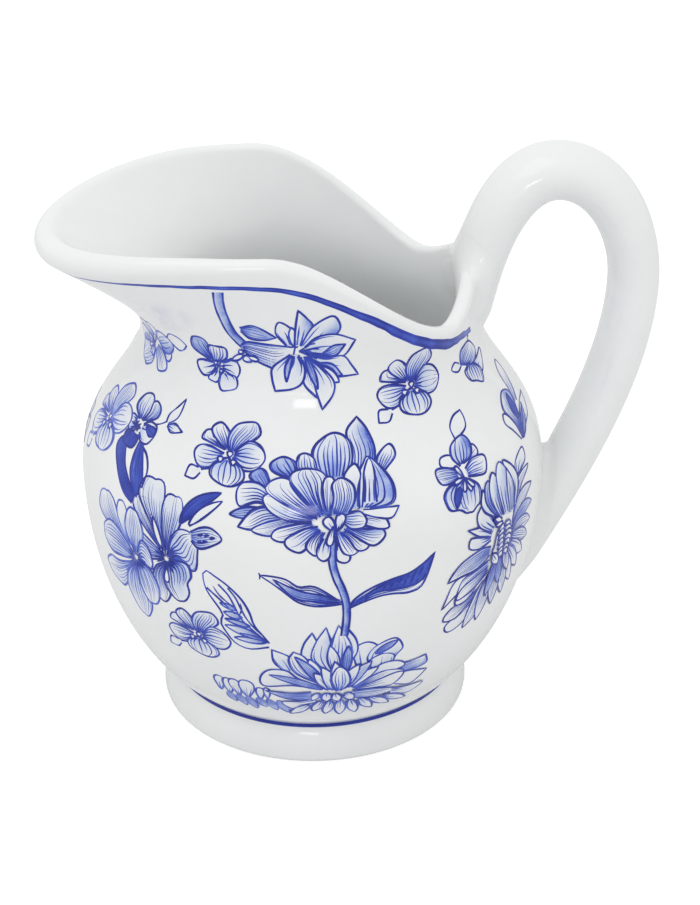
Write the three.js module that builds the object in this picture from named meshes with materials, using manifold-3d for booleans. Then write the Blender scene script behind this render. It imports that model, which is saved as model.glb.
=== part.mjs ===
// Glazed porcelain jug: a round bowl on a foot ring, a collar that opens into a broad pouring lip,
// and a strap handle that is luted to the rim and to the belly with slip.
// Millimetres, +Z up, the handle towards +X and the lip towards -X, mirror-symmetric about Y = 0.
// The resting face of the foot lies in Z = 0, and the origin is under the middle of the whole jug.

import * as THREE from "three";
import { mergeVertices } from "three/addons/utils/BufferGeometryUtils.js";
import Module from "manifold-3d";

// ---- Foot ring ----
const FOOT_HEIGHT = 10.9; // table to the line where the bowl starts
const FOOT_RADIUS = 45; // widest, low on the ring
const FOOT_WALL = 7.5; // thickness of the ring at the table
const FOOT_EDGE = 1.2; // rounding of its lower outer edge
const FOOT_INNER_DRAFT = 1.2; // how far the hollow narrows towards the floor

// ---- Bowl ----
const BOWL_FOOT_RADIUS = 41.9; // where the bowl meets the foot ring
const BOWL_START_ANGLE = 40; // degrees above level at which the bowl leaves the foot
const BELLY_RADIUS = 64.8;
const BELLY_RISE = 63.1; // foot line to the widest level
const SHOULDER_RADIUS = 49.5;
const SHOULDER_RISE = 34; // widest level to the shoulder, where the collar starts
const SHOULDER_ANGLE = 30; // degrees by which the wall leans in there
const WALL = 4.4;
const FLOOR_THICKNESS = 5.1;
const FOOT_PULL = 0.19; // the pulls set how full each curve is, as shares of the rise that it climbs
const UNDER_BELLY_PULL = 0.532;
const OVER_BELLY_PULL = 0.51;
const SHOULDER_PULL = 0.353;
const BASIN_PULL = 0.6; // inside, under the belly
const FLOOR_SHARE = 0.83; // how flat the inside floor is, as a share of the inner belly radius

// ---- Collar, rim and pouring lip ----
const NOTCH_RISE = 17; // shoulder to the lowest part of the rim, on both sides of the handle
const LIP_RISE = 26; // lowest part of the rim to its highest, beside the pouring lip
const LIP_DIP = 5.5; // how far the lip's tip lies under its sides
const ROOT_RISE = 10; // lowest part of the rim to the handle root
const RIM_SIDE_RADIUS = 46.7;
const RIM_BACK_RADIUS = 42.3; // at the handle
const LIP_REACH = 69.4; // axis to the crest of the pouring lip
const LIP_WALL = 7.2; // thickness of the rolled edge at the tip of the lip
const LIP_LEAN = 60; // degrees from upright at the tip of the lip
const RIM_LEAN = 9; // degrees from upright elsewhere
const NECK_PULL = 0.4; // how far the wall goes on leaning in above the shoulder
const LIP_NECK_PULL = 0.44; // the same under the pouring lip
const RIM_PULL = 0.36; // how long the wall keeps the lean of its rim
const LIP_PULL = 0.63; // the same at the pouring lip

// ---- Handle ----
const STRAP_WIDTH = 20; // across, along Y
const STRAP_DEPTH = 13.8; // in the plane of the handle
const CROWN_DEPTH = 15.4; // the same at the crown
const ROOT_FLARE = 1.25; // width at the upper root against the strap
const TAIL_FLARE = 1.1; // width at the lower root against the strap
const CROWN_RISE = 21.1; // rim at the handle to the centre line of the crown
const CROWN_REACH = 23.5; // rim at the handle to the crown, outwards
const FINGER_ROOM = 23.8; // belly to the centre line of the strap at its widest
const GRIP_DROP = 32; // crown to the widest level of the handle
const TAIL_HEIGHT = 41; // table to the centre of the lower root
const TAIL_SINK = 1.2; // depth of the centre line under the belly there
const TAIL_ANGLE = 28; // degrees from upright at which the strap comes in
const TAIL_TUCK = 16; // how far the tapered tail runs on downwards, into the wall
const TAIL_TAPER = 0.4; // depth at the end of the tail against the strap

// ---- Seams ----
const CLEARANCE = 0.3; // between pieces that meet
const SLIP_THICKNESS = 2; // the luting layer between the handle and the wall
const SLIP_SPREAD = 1.4; // how far the slip is squeezed out past the strap

// ---- Fineness of the faceted surfaces ----
const AROUND = 72;
const STRAP_SIDES = 20;
const STRAP_STEPS = 40;

const BELLY_HEIGHT = FOOT_HEIGHT + BELLY_RISE;
const SHOULDER_HEIGHT = BELLY_HEIGHT + SHOULDER_RISE;
const NOTCH_HEIGHT = SHOULDER_HEIGHT + NOTCH_RISE;
const ROOT_HEIGHT = NOTCH_HEIGHT + ROOT_RISE;
const rad = THREE.MathUtils.degToRad;

// A square-cosine swell that is 1 at zero and dies out at `reach` degrees.
function swell(degrees, reach) {
  return degrees >= reach ? 0 : Math.cos(((degrees / reach) * Math.PI) / 2) ** 2;
}

// A direction in the profile plane, `degrees` away from upright, outwards when positive.
function leaning(degrees) {
  return new THREE.Vector2(Math.sin(rad(degrees)), Math.cos(rad(degrees)));
}

// The rim at one angle: how far it belongs to the pouring lip (front, 0 to 1), its thickness, its lean
// and its crest. `around` is the angle round the axis in degrees, 0 at the lip and 180 at the handle.
function rimAt(around) {
  const fromLip = Math.abs(((((around + 180) % 360) + 360) % 360) - 180);
  const front = swell(fromLip, 90);
  const back = swell(180 - fromLip, 90);
  const wall = WALL + (LIP_WALL - WALL) * front;
  const radius =
    RIM_SIDE_RADIUS + (LIP_REACH - RIM_SIDE_RADIUS) * front + (RIM_BACK_RADIUS - RIM_SIDE_RADIUS) * back;
  const height =
    NOTCH_HEIGHT +
    LIP_RISE * THREE.MathUtils.smoothstep(141 - fromLip, 0, 68) -
    LIP_DIP * swell(fromLip, 60) +
    ROOT_RISE * swell(180 - fromLip, 45);
  const lean = RIM_LEAN + (LIP_LEAN - RIM_LEAN) * front;
  return { front, wall, lean, crest: new THREE.Vector2(radius, height) };
}

// The outer side of the bowl, from the foot line over the belly to the shoulder.
const bellyPoint = new THREE.Vector2(BELLY_RADIUS, BELLY_HEIGHT);
const shoulderPoint = new THREE.Vector2(SHOULDER_RADIUS, SHOULDER_HEIGHT);
const shoulderLean = leaning(-SHOULDER_ANGLE);
const footPoint = new THREE.Vector2(BOWL_FOOT_RADIUS, FOOT_HEIGHT);
const lowerBowl = new THREE.CubicBezierCurve(
  footPoint,
  footPoint.clone().addScaledVector(leaning(90 - BOWL_START_ANGLE), FOOT_PULL * BELLY_RISE),
  bellyPoint.clone().addScaledVector(leaning(0), -UNDER_BELLY_PULL * BELLY_RISE),
  bellyPoint,
);
const upperBowl = new THREE.CubicBezierCurve(
  bellyPoint,
  bellyPoint.clone().addScaledVector(leaning(0), OVER_BELLY_PULL * SHOULDER_RISE),
  shoulderPoint.clone().addScaledVector(shoulderLean, -SHOULDER_PULL * SHOULDER_RISE),
  shoulderPoint,
);

// The outer side of the collar at one angle, from the shoulder to where the rounded edge starts,
// with the centre of that rounding.
function collarAt(around) {
  const rim = rimAt(around);
  const up = leaning(rim.lean);
  const out = new THREE.Vector2(up.y, -up.x);
  const centre = rim.crest.clone().sub(new THREE.Vector2(0, rim.wall / 2));
  const end = centre.clone().addScaledVector(out, rim.wall / 2);
  const rise = rim.crest.y - SHOULDER_HEIGHT;
  const neckPull = NECK_PULL + (LIP_NECK_PULL - NECK_PULL) * rim.front;
  const rimPull = RIM_PULL + (LIP_PULL - RIM_PULL) * rim.front;
  const curve = new THREE.CubicBezierCurve(
    shoulderPoint,
    shoulderPoint.clone().addScaledVector(shoulderLean, neckPull * rise),
    end.clone().addScaledVector(up, -rimPull * rise),
    end,
  );
  return { rim, curve, centre };
}

// Points along a profile curve, moved off it along its normal by `offset(t)`, outwards when positive.
function beside(curve, steps, offset) {
  const points = [];
  for (let i = 0; i <= steps; i += 1) {
    const t = i / steps;
    const tangent = curve.getTangent(t);
    points.push(curve.getPoint(t).addScaledVector(new THREE.Vector2(tangent.y, -tangent.x), offset(t)));
  }
  return points;
}

// The rounded edge of the wall, from its outer side over the crest, `turn` degrees round `centre`.
function edgeArc(centre, radius, lean, turn, steps) {
  const points = [];
  for (let i = 1; i < steps; i += 1) {
    points.push(centre.clone().addScaledVector(leaning(lean + 90 - (turn * i) / steps), radius));
  }
  return points;
}

// A body of revolution whose profile may change with the angle round the axis.
function turned(profileAt) {
  const profiles = [];
  for (let i = 0; i < AROUND; i += 1) profiles.push(profileAt((360 * i) / AROUND + 90));
  const count = profiles[0].length;
  const geometry = new THREE.LatheGeometry(profiles[0], AROUND);
  const position = geometry.getAttribute("position");
  for (let i = 0; i < position.count; i += 1) {
    const turn = Math.floor(i / count) % AROUND;
    const point = profiles[turn][i % count];
    const angle = (2 * Math.PI * turn) / AROUND;
    position.setXYZ(i, point.x * Math.sin(angle), point.y, point.x * Math.cos(angle));
  }
  geometry.rotateX(Math.PI / 2);
  return geometry;
}

// The wall of the jug: out along the underside, up the outside, over the edge and down the inside.
function wallProfile(around) {
  const { rim, curve, centre } = collarAt(around);
  const bellyInside = new THREE.Vector2(BELLY_RADIUS - WALL, BELLY_HEIGHT);
  const floorInside = new THREE.Vector2(0, FOOT_HEIGHT + FLOOR_THICKNESS);
  const basin = new THREE.CubicBezierCurve(
    bellyInside,
    bellyInside.clone().addScaledVector(leaning(0), -BASIN_PULL * BELLY_RISE),
    new THREE.Vector2(FLOOR_SHARE * bellyInside.x, floorInside.y),
    floorInside,
  );
  return [
    new THREE.Vector2(0, FOOT_HEIGHT),
    ...beside(lowerBowl, 9, () => 0),
    ...beside(upperBowl, 6, () => 0).slice(1),
    ...beside(curve, 8, () => 0).slice(1),
    ...edgeArc(centre, rim.wall / 2, rim.lean, 180, 5),
    ...beside(curve, 7, (t) => -WALL - (rim.wall - WALL) * t ** 2).reverse(),
    ...beside(upperBowl, 5, () => -WALL).slice(0, -1).reverse(),
    ...basin.getPoints(8).slice(1),
  ];
}

// The jug without its hollow, grown by `gap` on every side: what the handle is fitted to.
function envelopeProfile(gap) {
  return (around) => {
    const { rim, curve, centre } = collarAt(around);
    return [
      new THREE.Vector2(0, FOOT_HEIGHT - gap),
      ...beside(lowerBowl, 9, () => gap),
      ...beside(upperBowl, 6, () => gap).slice(1),
      ...beside(curve, 8, () => gap).slice(1),
      ...edgeArc(centre, rim.wall / 2 + gap, rim.lean, 90 + rim.lean, 5),
      centre.clone().add(new THREE.Vector2(0, rim.wall / 2 + gap)),
      new THREE.Vector2(0, ROOT_HEIGHT + gap),
    ];
  };
}

// The radius of the bowl's outer side at a height below the belly.
function bowlRadiusAt(height) {
  const points = lowerBowl.getPoints(200);
  return points.find((point) => point.y >= height).x;
}

// The centre line of the handle: up from inside the rim, over the crown, and down into the belly.
const rootPoint = new THREE.Vector3(RIM_BACK_RADIUS + 0.6, 0, ROOT_HEIGHT - 14);
const crownPoint = new THREE.Vector3(RIM_BACK_RADIUS + CROWN_REACH, 0, ROOT_HEIGHT + CROWN_RISE);
const gripPoint = new THREE.Vector3(BELLY_RADIUS + FINGER_ROOM, 0, crownPoint.z - GRIP_DROP);
const tailPoint = new THREE.Vector3(bowlRadiusAt(TAIL_HEIGHT) - TAIL_SINK, 0, TAIL_HEIGHT);
const tailWay = new THREE.Vector3(Math.sin(rad(TAIL_ANGLE)), 0, Math.cos(rad(TAIL_ANGLE)));
const tuckPoint = new THREE.Vector3(tailPoint.x - 1.15 * TAIL_TUCK, 0, tailPoint.z - 1.25 * TAIL_TUCK);
const gripToTail = gripPoint.z - tailPoint.z;
const strapLine = new THREE.CurvePath();
strapLine.add(
  new THREE.CubicBezierCurve3(
    rootPoint,
    new THREE.Vector3(rootPoint.x + 4.5, 0, rootPoint.z + 0.62 * (crownPoint.z - rootPoint.z)),
    new THREE.Vector3(crownPoint.x - 0.47 * CROWN_REACH, 0, crownPoint.z),
    crownPoint,
  ),
);
strapLine.add(
  new THREE.CubicBezierCurve3(
    crownPoint,
    new THREE.Vector3(crownPoint.x + 0.55 * (gripPoint.x - crownPoint.x), 0, crownPoint.z),
    new THREE.Vector3(gripPoint.x, 0, gripPoint.z + 0.53 * GRIP_DROP),
    gripPoint,
  ),
);
strapLine.add(
  new THREE.CubicBezierCurve3(
    gripPoint,
    new THREE.Vector3(gripPoint.x, 0, gripPoint.z - 0.34 * gripToTail),
    tailPoint.clone().addScaledVector(tailWay, 0.31 * gripToTail),
    tailPoint,
  ),
);
strapLine.add(
  new THREE.QuadraticBezierCurve3(
    tailPoint,
    tailPoint.clone().addScaledVector(tailWay, -0.65 * TAIL_TUCK),
    tuckPoint,
  ),
);

const CROWN_SHARE = strapLine.getCurveLengths()[0] / strapLine.getLength();

// An oval strap along part of the centre line, `grow` bigger all round.
function strap(from, to, steps, grow) {
  const geometry = new THREE.CylinderGeometry(1, 1, 1, STRAP_SIDES, steps);
  const position = geometry.getAttribute("position");
  const corner = new THREE.Vector3();
  for (let i = 0; i < position.count; i += 1) {
    corner.fromBufferAttribute(position, i);
    const u = from + (to - from) * (corner.y + 0.5);
    const along = strapLine.getTangentAt(u);
    const outwards = new THREE.Vector3(-along.z, 0, along.x);
    const flare = 1 + (ROOT_FLARE - 1) * swell(u, 0.13) + (TAIL_FLARE - 1) * swell(1 - u, 0.16);
    const depth = STRAP_DEPTH + (CROWN_DEPTH - STRAP_DEPTH) * swell(Math.abs(u - CROWN_SHARE), 0.2);
    const taper = 1 + (TAIL_TAPER - 1) * swell(1 - u, 0.16);
    const place = strapLine
      .getPointAt(u)
      .addScaledVector(outwards, corner.x * ((depth / 2) * taper + grow))
      .add(new THREE.Vector3(0, corner.z * ((STRAP_WIDTH / 2) * flare + grow), 0));
    position.setXYZ(i, place.x, place.y, place.z);
  }
  return geometry;
}

const wasm = await Module();
wasm.setup();

// The closed solid inside a geometry, for joining and cutting.
function toSolid(geometry) {
  const bare = new THREE.BufferGeometry();
  bare.setIndex(geometry.index.clone());
  bare.setAttribute("position", geometry.getAttribute("position").clone());
  const merged = mergeVertices(bare, 1e-4);
  const mesh = new wasm.Mesh({
    numProp: 3,
    vertProperties: merged.attributes.position.array,
    triVerts: new Uint32Array(merged.index.array),
  });
  return new wasm.Manifold(mesh);
}

function toGeometry(solid) {
  const mesh = solid.getMesh();
  const geometry = new THREE.BufferGeometry();
  geometry.setAttribute("position", new THREE.BufferAttribute(mesh.vertProperties, 3));
  geometry.setIndex(new THREE.BufferAttribute(mesh.triVerts, 1));
  geometry.computeVertexNormals();
  return geometry;
}

// The ring under the bowl: flat on the table, rounded outside, hollow in the middle.
function footRing() {
  const top = FOOT_HEIGHT - CLEARANCE;
  const hollow = FOOT_RADIUS - FOOT_WALL;
  const foot = new THREE.Shape();
  foot.moveTo(hollow + 1, 0);
  foot.lineTo(FOOT_RADIUS - FOOT_EDGE, 0);
  foot.quadraticCurveTo(FOOT_RADIUS, 0, FOOT_RADIUS, 1.4 * FOOT_EDGE);
  foot.quadraticCurveTo(FOOT_RADIUS, 0.72 * top, BOWL_FOOT_RADIUS, top);
  foot.lineTo(hollow - FOOT_INNER_DRAFT, top);
  foot.lineTo(hollow, 1);
  foot.closePath();
  const outline = foot.getPoints(5);
  return new THREE.LatheGeometry(outline, AROUND).rotateX(Math.PI / 2);
}

const glaze = { color: 0xeef0f0, roughness: 0.08, metalness: 0 };
const slip = { color: 0xe4e6e6, roughness: 0.15, metalness: 0 };

function piece(name, geometry, look) {
  const mesh = new THREE.Mesh(geometry, new THREE.MeshStandardMaterial(look));
  mesh.name = name;
  return mesh;
}

// The slip layer lies CLEARANCE off the wall, and the strap CLEARANCE off the slip.
const besideWall = toSolid(turned(envelopeProfile(CLEARANCE)));
const besideSlip = toSolid(turned(envelopeProfile(CLEARANCE + SLIP_THICKNESS)));
const strapSeat = toSolid(turned(envelopeProfile(2 * CLEARANCE + SLIP_THICKNESS)));
const wholeStrap = toSolid(strap(0, 1, STRAP_STEPS, 0));
const slipSkin = besideSlip.subtract(besideWall);
const upperSlip = slipSkin.intersect(toSolid(strap(0, 0.2, 10, SLIP_SPREAD)));
const lowerSlip = slipSkin.intersect(toSolid(strap(0.72, 1, 12, SLIP_SPREAD)));

const jug = new THREE.Group();
jug.add(piece("body_shell", turned(wallProfile), glaze));
jug.add(piece("foot_ring", footRing(), glaze));
jug.add(piece("handle", toGeometry(wholeStrap.subtract(strapSeat)), glaze));
jug.add(piece("upper_slip_joint", toGeometry(upperSlip), slip));
jug.add(piece("lower_slip_joint", toGeometry(lowerSlip), slip));

// The handle side reaches further than the lip side, so the axis of the bowl stands off the origin.
const box = new THREE.Box3().setFromObject(jug);
jug.position.x = -(box.min.x + box.max.x) / 2;

export default jug;
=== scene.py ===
"""Looks of a blue-and-white porcelain jug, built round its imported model.

The wall, the foot ring, the strap handle and the slip that lutes the handle on are fine surfaces of the
same formulas as the frame's parts. The cobalt painting lies just over the wall as thin brush work with
the glaze's own finish: each flower is a class that paints its petals, veins and washes in its own flat
millimetres, and the wall bends them onto the jug.
"""

import logging
from collections.abc import Sequence
from dataclasses import dataclass, field, replace
from enum import Enum

import bmesh
import bpy
import numpy as np
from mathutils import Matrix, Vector


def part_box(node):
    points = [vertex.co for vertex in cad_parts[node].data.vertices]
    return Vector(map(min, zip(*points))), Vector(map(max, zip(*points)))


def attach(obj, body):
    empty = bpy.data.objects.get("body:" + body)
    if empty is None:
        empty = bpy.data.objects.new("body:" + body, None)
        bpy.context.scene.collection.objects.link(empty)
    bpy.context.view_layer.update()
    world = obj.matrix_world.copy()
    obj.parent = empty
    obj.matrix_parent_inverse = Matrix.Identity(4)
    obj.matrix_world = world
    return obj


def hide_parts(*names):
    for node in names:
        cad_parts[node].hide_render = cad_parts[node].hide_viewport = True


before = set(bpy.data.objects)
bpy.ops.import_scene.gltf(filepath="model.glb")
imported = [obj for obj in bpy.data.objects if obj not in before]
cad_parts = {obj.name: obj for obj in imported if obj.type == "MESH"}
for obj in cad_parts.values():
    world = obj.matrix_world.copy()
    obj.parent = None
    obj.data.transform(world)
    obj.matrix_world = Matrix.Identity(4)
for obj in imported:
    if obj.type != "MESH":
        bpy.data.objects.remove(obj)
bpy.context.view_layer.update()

LOG = logging.getLogger("jug")
Array = np.ndarray
MM = 0.001
HANDLE_SIDE = 360  # the row of the wall's table that faces the handle


# ---------------------------------------------------------------- small formulas


def swell(degrees: Array, reach: float) -> Array:
    """A square-cosine swell: 1 at zero, dying out at `reach` degrees.

    Args:
        degrees: distances from the middle, not negative.
        reach: where the swell ends.

    Returns:
        The swell, 0 to 1.
    """
    return np.cos(np.minimum(degrees / reach, 1.0) * np.pi / 2) ** 2


def smoothstep(x: Array) -> Array:
    """The cubic ease 3x² - 2x³ of x, held to 0..1."""
    x = np.clip(x, 0.0, 1.0)
    return x * x * (3 - 2 * x)


def leaning(degrees: Array) -> Array:
    """Unit (radius, height) directions that lean outwards from upright by `degrees`."""
    a = np.radians(np.asarray(degrees, float))
    return np.stack([np.sin(a), np.cos(a)], -1)


def bezier(corners: Sequence[Array], t: Array) -> tuple[Array, Array]:
    """Points and directions of cubic Bezier curves.

    Args:
        corners: four control points, each of shape (..., D).
        t: parameters of shape (T,).

    Returns:
        Points and unit tangents, each of shape (..., T, D).
    """
    p0, p1, p2, p3 = (np.asarray(c, float)[..., None, :] for c in corners)
    t = np.asarray(t, float)[:, None]
    s = 1 - t
    point = s**3 * p0 + 3 * s * s * t * p1 + 3 * s * t * t * p2 + t**3 * p3
    slope = s * s * (p1 - p0) + 2 * s * t * (p2 - p1) + t * t * (p3 - p2)
    return point, slope / np.maximum(np.linalg.norm(slope, axis=-1, keepdims=True), 1e-9)


def outward(tangent: Array) -> Array:
    """The outer normal of a profile that runs upwards: the tangent (r, z) turned to (z, -r)."""
    return np.stack([tangent[..., 1], -tangent[..., 0]], -1)


# ---------------------------------------------------------------- meshes


def grid_faces(rows: int, columns: int, wrap: bool, wrap_rows: bool = False) -> Array:
    """Quads of a grid whose vertices are numbered row by row.

    Args:
        rows: vertices along the first direction.
        columns: vertices along the second.
        wrap: whether the last column joins the first.
        wrap_rows: whether the last row joins the first.

    Returns:
        An integer array of shape (faces, 4).
    """
    i = np.arange(rows if wrap_rows else rows - 1)
    j = np.arange(columns if wrap else columns - 1)
    i, j = np.meshgrid(i, j, indexing="ij")
    i2, j2 = (i + 1) % rows, (j + 1) % columns
    around = [i * columns + j, i * columns + j2, i2 * columns + j2, i2 * columns + j]
    return np.stack(around, -1).reshape(-1, 4)


@dataclass
class Sheet:
    """Vertices in metres, faces, and what is known at each vertex."""

    points: Array
    faces: Array
    normals: Array | None = None
    layers: dict[str, Array] = field(default_factory=dict)

    def to_object(self, name: str, material: bpy.types.Material) -> bpy.types.Object:
        """Makes the mesh object.

        Args:
            name: the object's name.
            material: its finish.

        Returns:
            The new object, linked to the scene.
        """
        mesh = bpy.data.meshes.new(name)
        size = self.faces.shape[1]
        mesh.vertices.add(len(self.points))
        mesh.vertices.foreach_set("co", self.points.astype(np.float32).ravel())
        mesh.loops.add(self.faces.size)
        mesh.loops.foreach_set("vertex_index", self.faces.astype(np.int32).ravel())
        mesh.polygons.add(len(self.faces))
        mesh.polygons.foreach_set("loop_start", np.arange(0, self.faces.size, size, dtype=np.int32))
        for key, values in self.layers.items():
            layer = mesh.attributes.new(key, "FLOAT", "POINT")
            layer.data.foreach_set("value", values.astype(np.float32).ravel())
        mesh.update(calc_edges=True)
        mesh.validate()
        mesh.shade_smooth()
        if self.normals is not None:
            mesh.normals_split_custom_set_from_vertices(self.normals.tolist())
        mesh.materials.append(material)
        piece = bpy.data.objects.new(name, mesh)
        bpy.context.scene.collection.objects.link(piece)
        return piece


def joined(sheets: Sequence[Sheet]) -> Sheet:
    """One sheet from several of the same kind, in their order."""
    starts = np.cumsum([0] + [len(s.points) for s in sheets[:-1]])
    keys = sheets[0].layers
    return Sheet(
        np.concatenate([s.points for s in sheets]),
        np.concatenate([s.faces + start for s, start in zip(sheets, starts)]),
        np.concatenate([s.normals for s in sheets]) if sheets[0].normals is not None else None,
        {k: np.concatenate([s.layers[k] for s in sheets]) for k in keys},
    )


def turned_sheet(points: Array) -> Sheet:
    """A closed surface from rows of points round an axis; the first and last rows may be poles.

    Quads join each row to the next and the last column to the first. A pole row holds one place
    repeated, and its doubles are welded by `finish_closed`.
    """
    rows, columns = points.shape[:2]
    return Sheet(points.reshape(-1, 3), grid_faces(rows, columns, True))


def finish_closed(piece: bpy.types.Object) -> bpy.types.Object:
    """Welds the doubled points of poles and drops the faces that they leave without width."""
    work = bmesh.new()
    work.from_mesh(piece.data)
    bmesh.ops.remove_doubles(work, verts=work.verts, dist=1e-7)
    bmesh.ops.dissolve_degenerate(work, edges=work.edges, dist=1e-8)
    bmesh.ops.recalc_face_normals(work, faces=work.faces)
    work.to_mesh(piece.data)
    work.free()
    piece.data.shade_smooth()
    return piece


# ---------------------------------------------------------------- the wall of the jug


@dataclass
class Wall:
    """The turned wall of the jug, in millimetres round its own axis.

    Angles round the axis are degrees: 0 towards the handle, ±180 towards the pouring lip, -90 to the side
    that is looked at. `along` is the length of wall above the foot line, measured up the outside.
    """

    axis_x: float
    foot_height: float = 10.9
    foot_radius: float = 41.9
    start_angle: float = 40.0
    belly_radius: float = 64.8
    belly_rise: float = 63.1
    shoulder_radius: float = 49.5
    shoulder_rise: float = 34.0
    shoulder_angle: float = 30.0
    thickness: float = 4.4
    floor_thickness: float = 5.1
    notch_rise: float = 17.0
    lip_rise: float = 26.0
    lip_dip: float = 5.5
    root_rise: float = 10.0
    side_radius: float = 46.7
    back_radius: float = 42.3
    lip_reach: float = 69.3
    lip_thickness: float = 7.2
    lip_lean: float = 60.0
    paint_room: float = 0.16
    rim_lean: float = 9.0
    table_turn: float = 0.5
    table_step: float = 0.25

    def __post_init__(self) -> None:
        """Works out the fixed curves of the bowl and the tables that everything on the wall looks up."""
        self.belly_height = self.foot_height + self.belly_rise
        self.shoulder_height = self.belly_height + self.shoulder_rise
        self.root_height = self.shoulder_height + self.notch_rise + self.root_rise
        foot = np.array([self.foot_radius, self.foot_height])
        belly = np.array([self.belly_radius - self.paint_room, self.belly_height])
        shoulder = np.array([self.shoulder_radius, self.shoulder_height])
        self.shoulder_way = leaning(-self.shoulder_angle)
        self.shoulder = shoulder
        up = np.array([0.0, 1.0])
        self.lower = (
            foot,
            foot + 0.19 * self.belly_rise * leaning(90 - self.start_angle),
            belly - 0.532 * self.belly_rise * up,
            belly,
        )
        self.upper = (
            belly,
            belly + 0.51 * self.shoulder_rise * up,
            shoulder - 0.353 * self.shoulder_rise * self.shoulder_way,
            shoulder,
        )
        self.turns = np.arange(-180.0, 180.0, self.table_turn)
        self._tabulate()

    def rim(self, turn: Array) -> tuple[Array, Array, Array, Array]:
        """The rim at some angles: share of the pouring lip, thickness, lean, and crest (radius, height).

        Every swell is a square cosine of the angle from the lip or from the handle, and the rise from the
        notch to the lip is a smoothstep.
        """
        from_handle = np.abs((turn + 180) % 360 - 180)
        from_lip = 180 - from_handle
        front = swell(from_lip, 90)
        back = swell(from_handle, 90)
        thick = self.thickness + (self.lip_thickness - self.thickness) * front
        radius = self.side_radius + (self.lip_reach - self.side_radius) * front
        radius = radius + (self.back_radius - self.side_radius) * back
        height = (
            self.shoulder_height
            + self.notch_rise
            + self.lip_rise * smoothstep((141 - from_lip) / 68)
            - self.lip_dip * swell(from_lip, 60)
            + self.root_rise * swell(from_handle, 45)
        )
        lean = self.rim_lean + (self.lip_lean - self.rim_lean) * front
        return front, thick, lean, np.stack([radius, height], -1)

    def pieces_of_profile(self, turn: Array, counts: Sequence[int]) -> list[tuple[Array, Array]]:
        """The profile at some angles, part by part, as (points, outer normals) of shape (turns, count, 2).

        The parts are lower bowl, upper bowl, collar, rounded edge, inside of the collar, inside of the
        upper bowl, and basin. The inside is the outside moved in by the thickness, which grows with the
        square of the way up the collar; the basin is a Bezier curve to the middle of the floor.
        """
        front, thick, lean, crest = self.rim(turn)
        way = leaning(lean)
        out = outward(way)
        centre = crest - np.stack([0 * thick, thick / 2], -1)
        end = centre + out * (thick / 2)[:, None]
        rise = (crest[:, 1] - self.shoulder_height)[:, None]
        neck_pull = (0.4 + 0.04 * front)[:, None]
        rim_pull = (0.36 + 0.27 * front)[:, None]
        shoulder = np.broadcast_to(self.shoulder, end.shape)
        collar = (shoulder, shoulder + neck_pull * rise * self.shoulder_way, end - rim_pull * rise * way, end)
        steps = [np.linspace(0, 1, c) for c in counts]
        wide = (len(turn), 1, 1)
        found = []
        for curve, t in ((self.lower, steps[0]), (self.upper, steps[1])):
            point, tangent = bezier(curve, t)
            found.append((np.tile(point, wide), np.tile(outward(tangent), wide)))
        point, tangent = bezier(collar, steps[2])
        found.append((point, outward(tangent)))
        arc = leaning(lean[:, None] + 90 - 180 * steps[3])
        found.append((centre[:, None] + (thick / 2)[:, None, None] * arc, arc))
        point, tangent = bezier(collar, 1 - steps[4])
        inward = self.thickness + (thick - self.thickness)[:, None] * (1 - steps[4]) ** 2
        found.append((point - inward[..., None] * outward(tangent), -outward(tangent)))
        point, tangent = bezier(self.upper, 1 - steps[5])
        inner = point - self.thickness * outward(tangent)
        found.append((np.tile(inner, wide), np.tile(-outward(tangent), wide)))
        inner_belly = np.array([self.belly_radius - self.thickness, self.belly_height])
        middle = np.array([0.0, self.foot_height + self.floor_thickness])
        basin = (
            inner_belly,
            inner_belly - np.array([0, 0.6 * self.belly_rise]),
            np.array([0.83 * inner_belly[0], middle[1]]),
            middle,
        )
        point, tangent = bezier(basin, steps[6])
        found.append((np.tile(point, wide), np.tile(outward(tangent), wide)))
        return found

    def placed(self, turn: Array, flat: Array) -> Array:
        """Points in metres from angles in degrees and (radius, height) in millimetres."""
        a = np.radians(turn)
        x = flat[..., 0] * np.cos(a) + self.axis_x
        return np.stack([x, flat[..., 0] * np.sin(a), flat[..., 1]], -1) * MM

    def _tabulate(self) -> None:
        """Fills the table of points at equal steps of length up the outside and over the edge."""
        parts = self.pieces_of_profile(self.turns, (160, 120, 160, 60, 90, 60, 60))
        line = np.concatenate([p[0] for p in parts[:6]], 1)
        gaps = np.linalg.norm(np.diff(line, axis=1), axis=-1)
        length = np.concatenate([np.zeros((len(line), 1)), np.cumsum(gaps, 1)], 1)
        self.lower_length = float(length[0, 159])
        self.shoulder_length = float(length[0, 280])
        self.edge_start = length[:, 280 + 159]
        self.edge_end = length[:, 280 + 159 + 60]
        self.reach = 170.0
        count = int(self.reach / self.table_step) + 1
        wanted = np.arange(count) * self.table_step
        far = 1000.0
        row = np.arange(len(line))[:, None] * far
        keys = (np.minimum(length, far - 1) + row).ravel()
        ask = (wanted[None, :] + row).ravel()
        flat = np.stack([np.interp(ask, keys, line[..., k].ravel()) for k in (0, 1)], -1)
        flat = flat.reshape(len(line), count, 2)
        self.table = flat
        solid = self.placed(self.turns[:, None], flat) / MM
        wrapped = np.concatenate([solid[-1:], solid, solid[:1]], 0)
        around = (wrapped[2:] - wrapped[:-2]) / 2
        up = np.gradient(solid, axis=1)
        normal = np.cross(around, up)
        self.normals = normal / np.linalg.norm(normal, axis=-1, keepdims=True)

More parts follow.
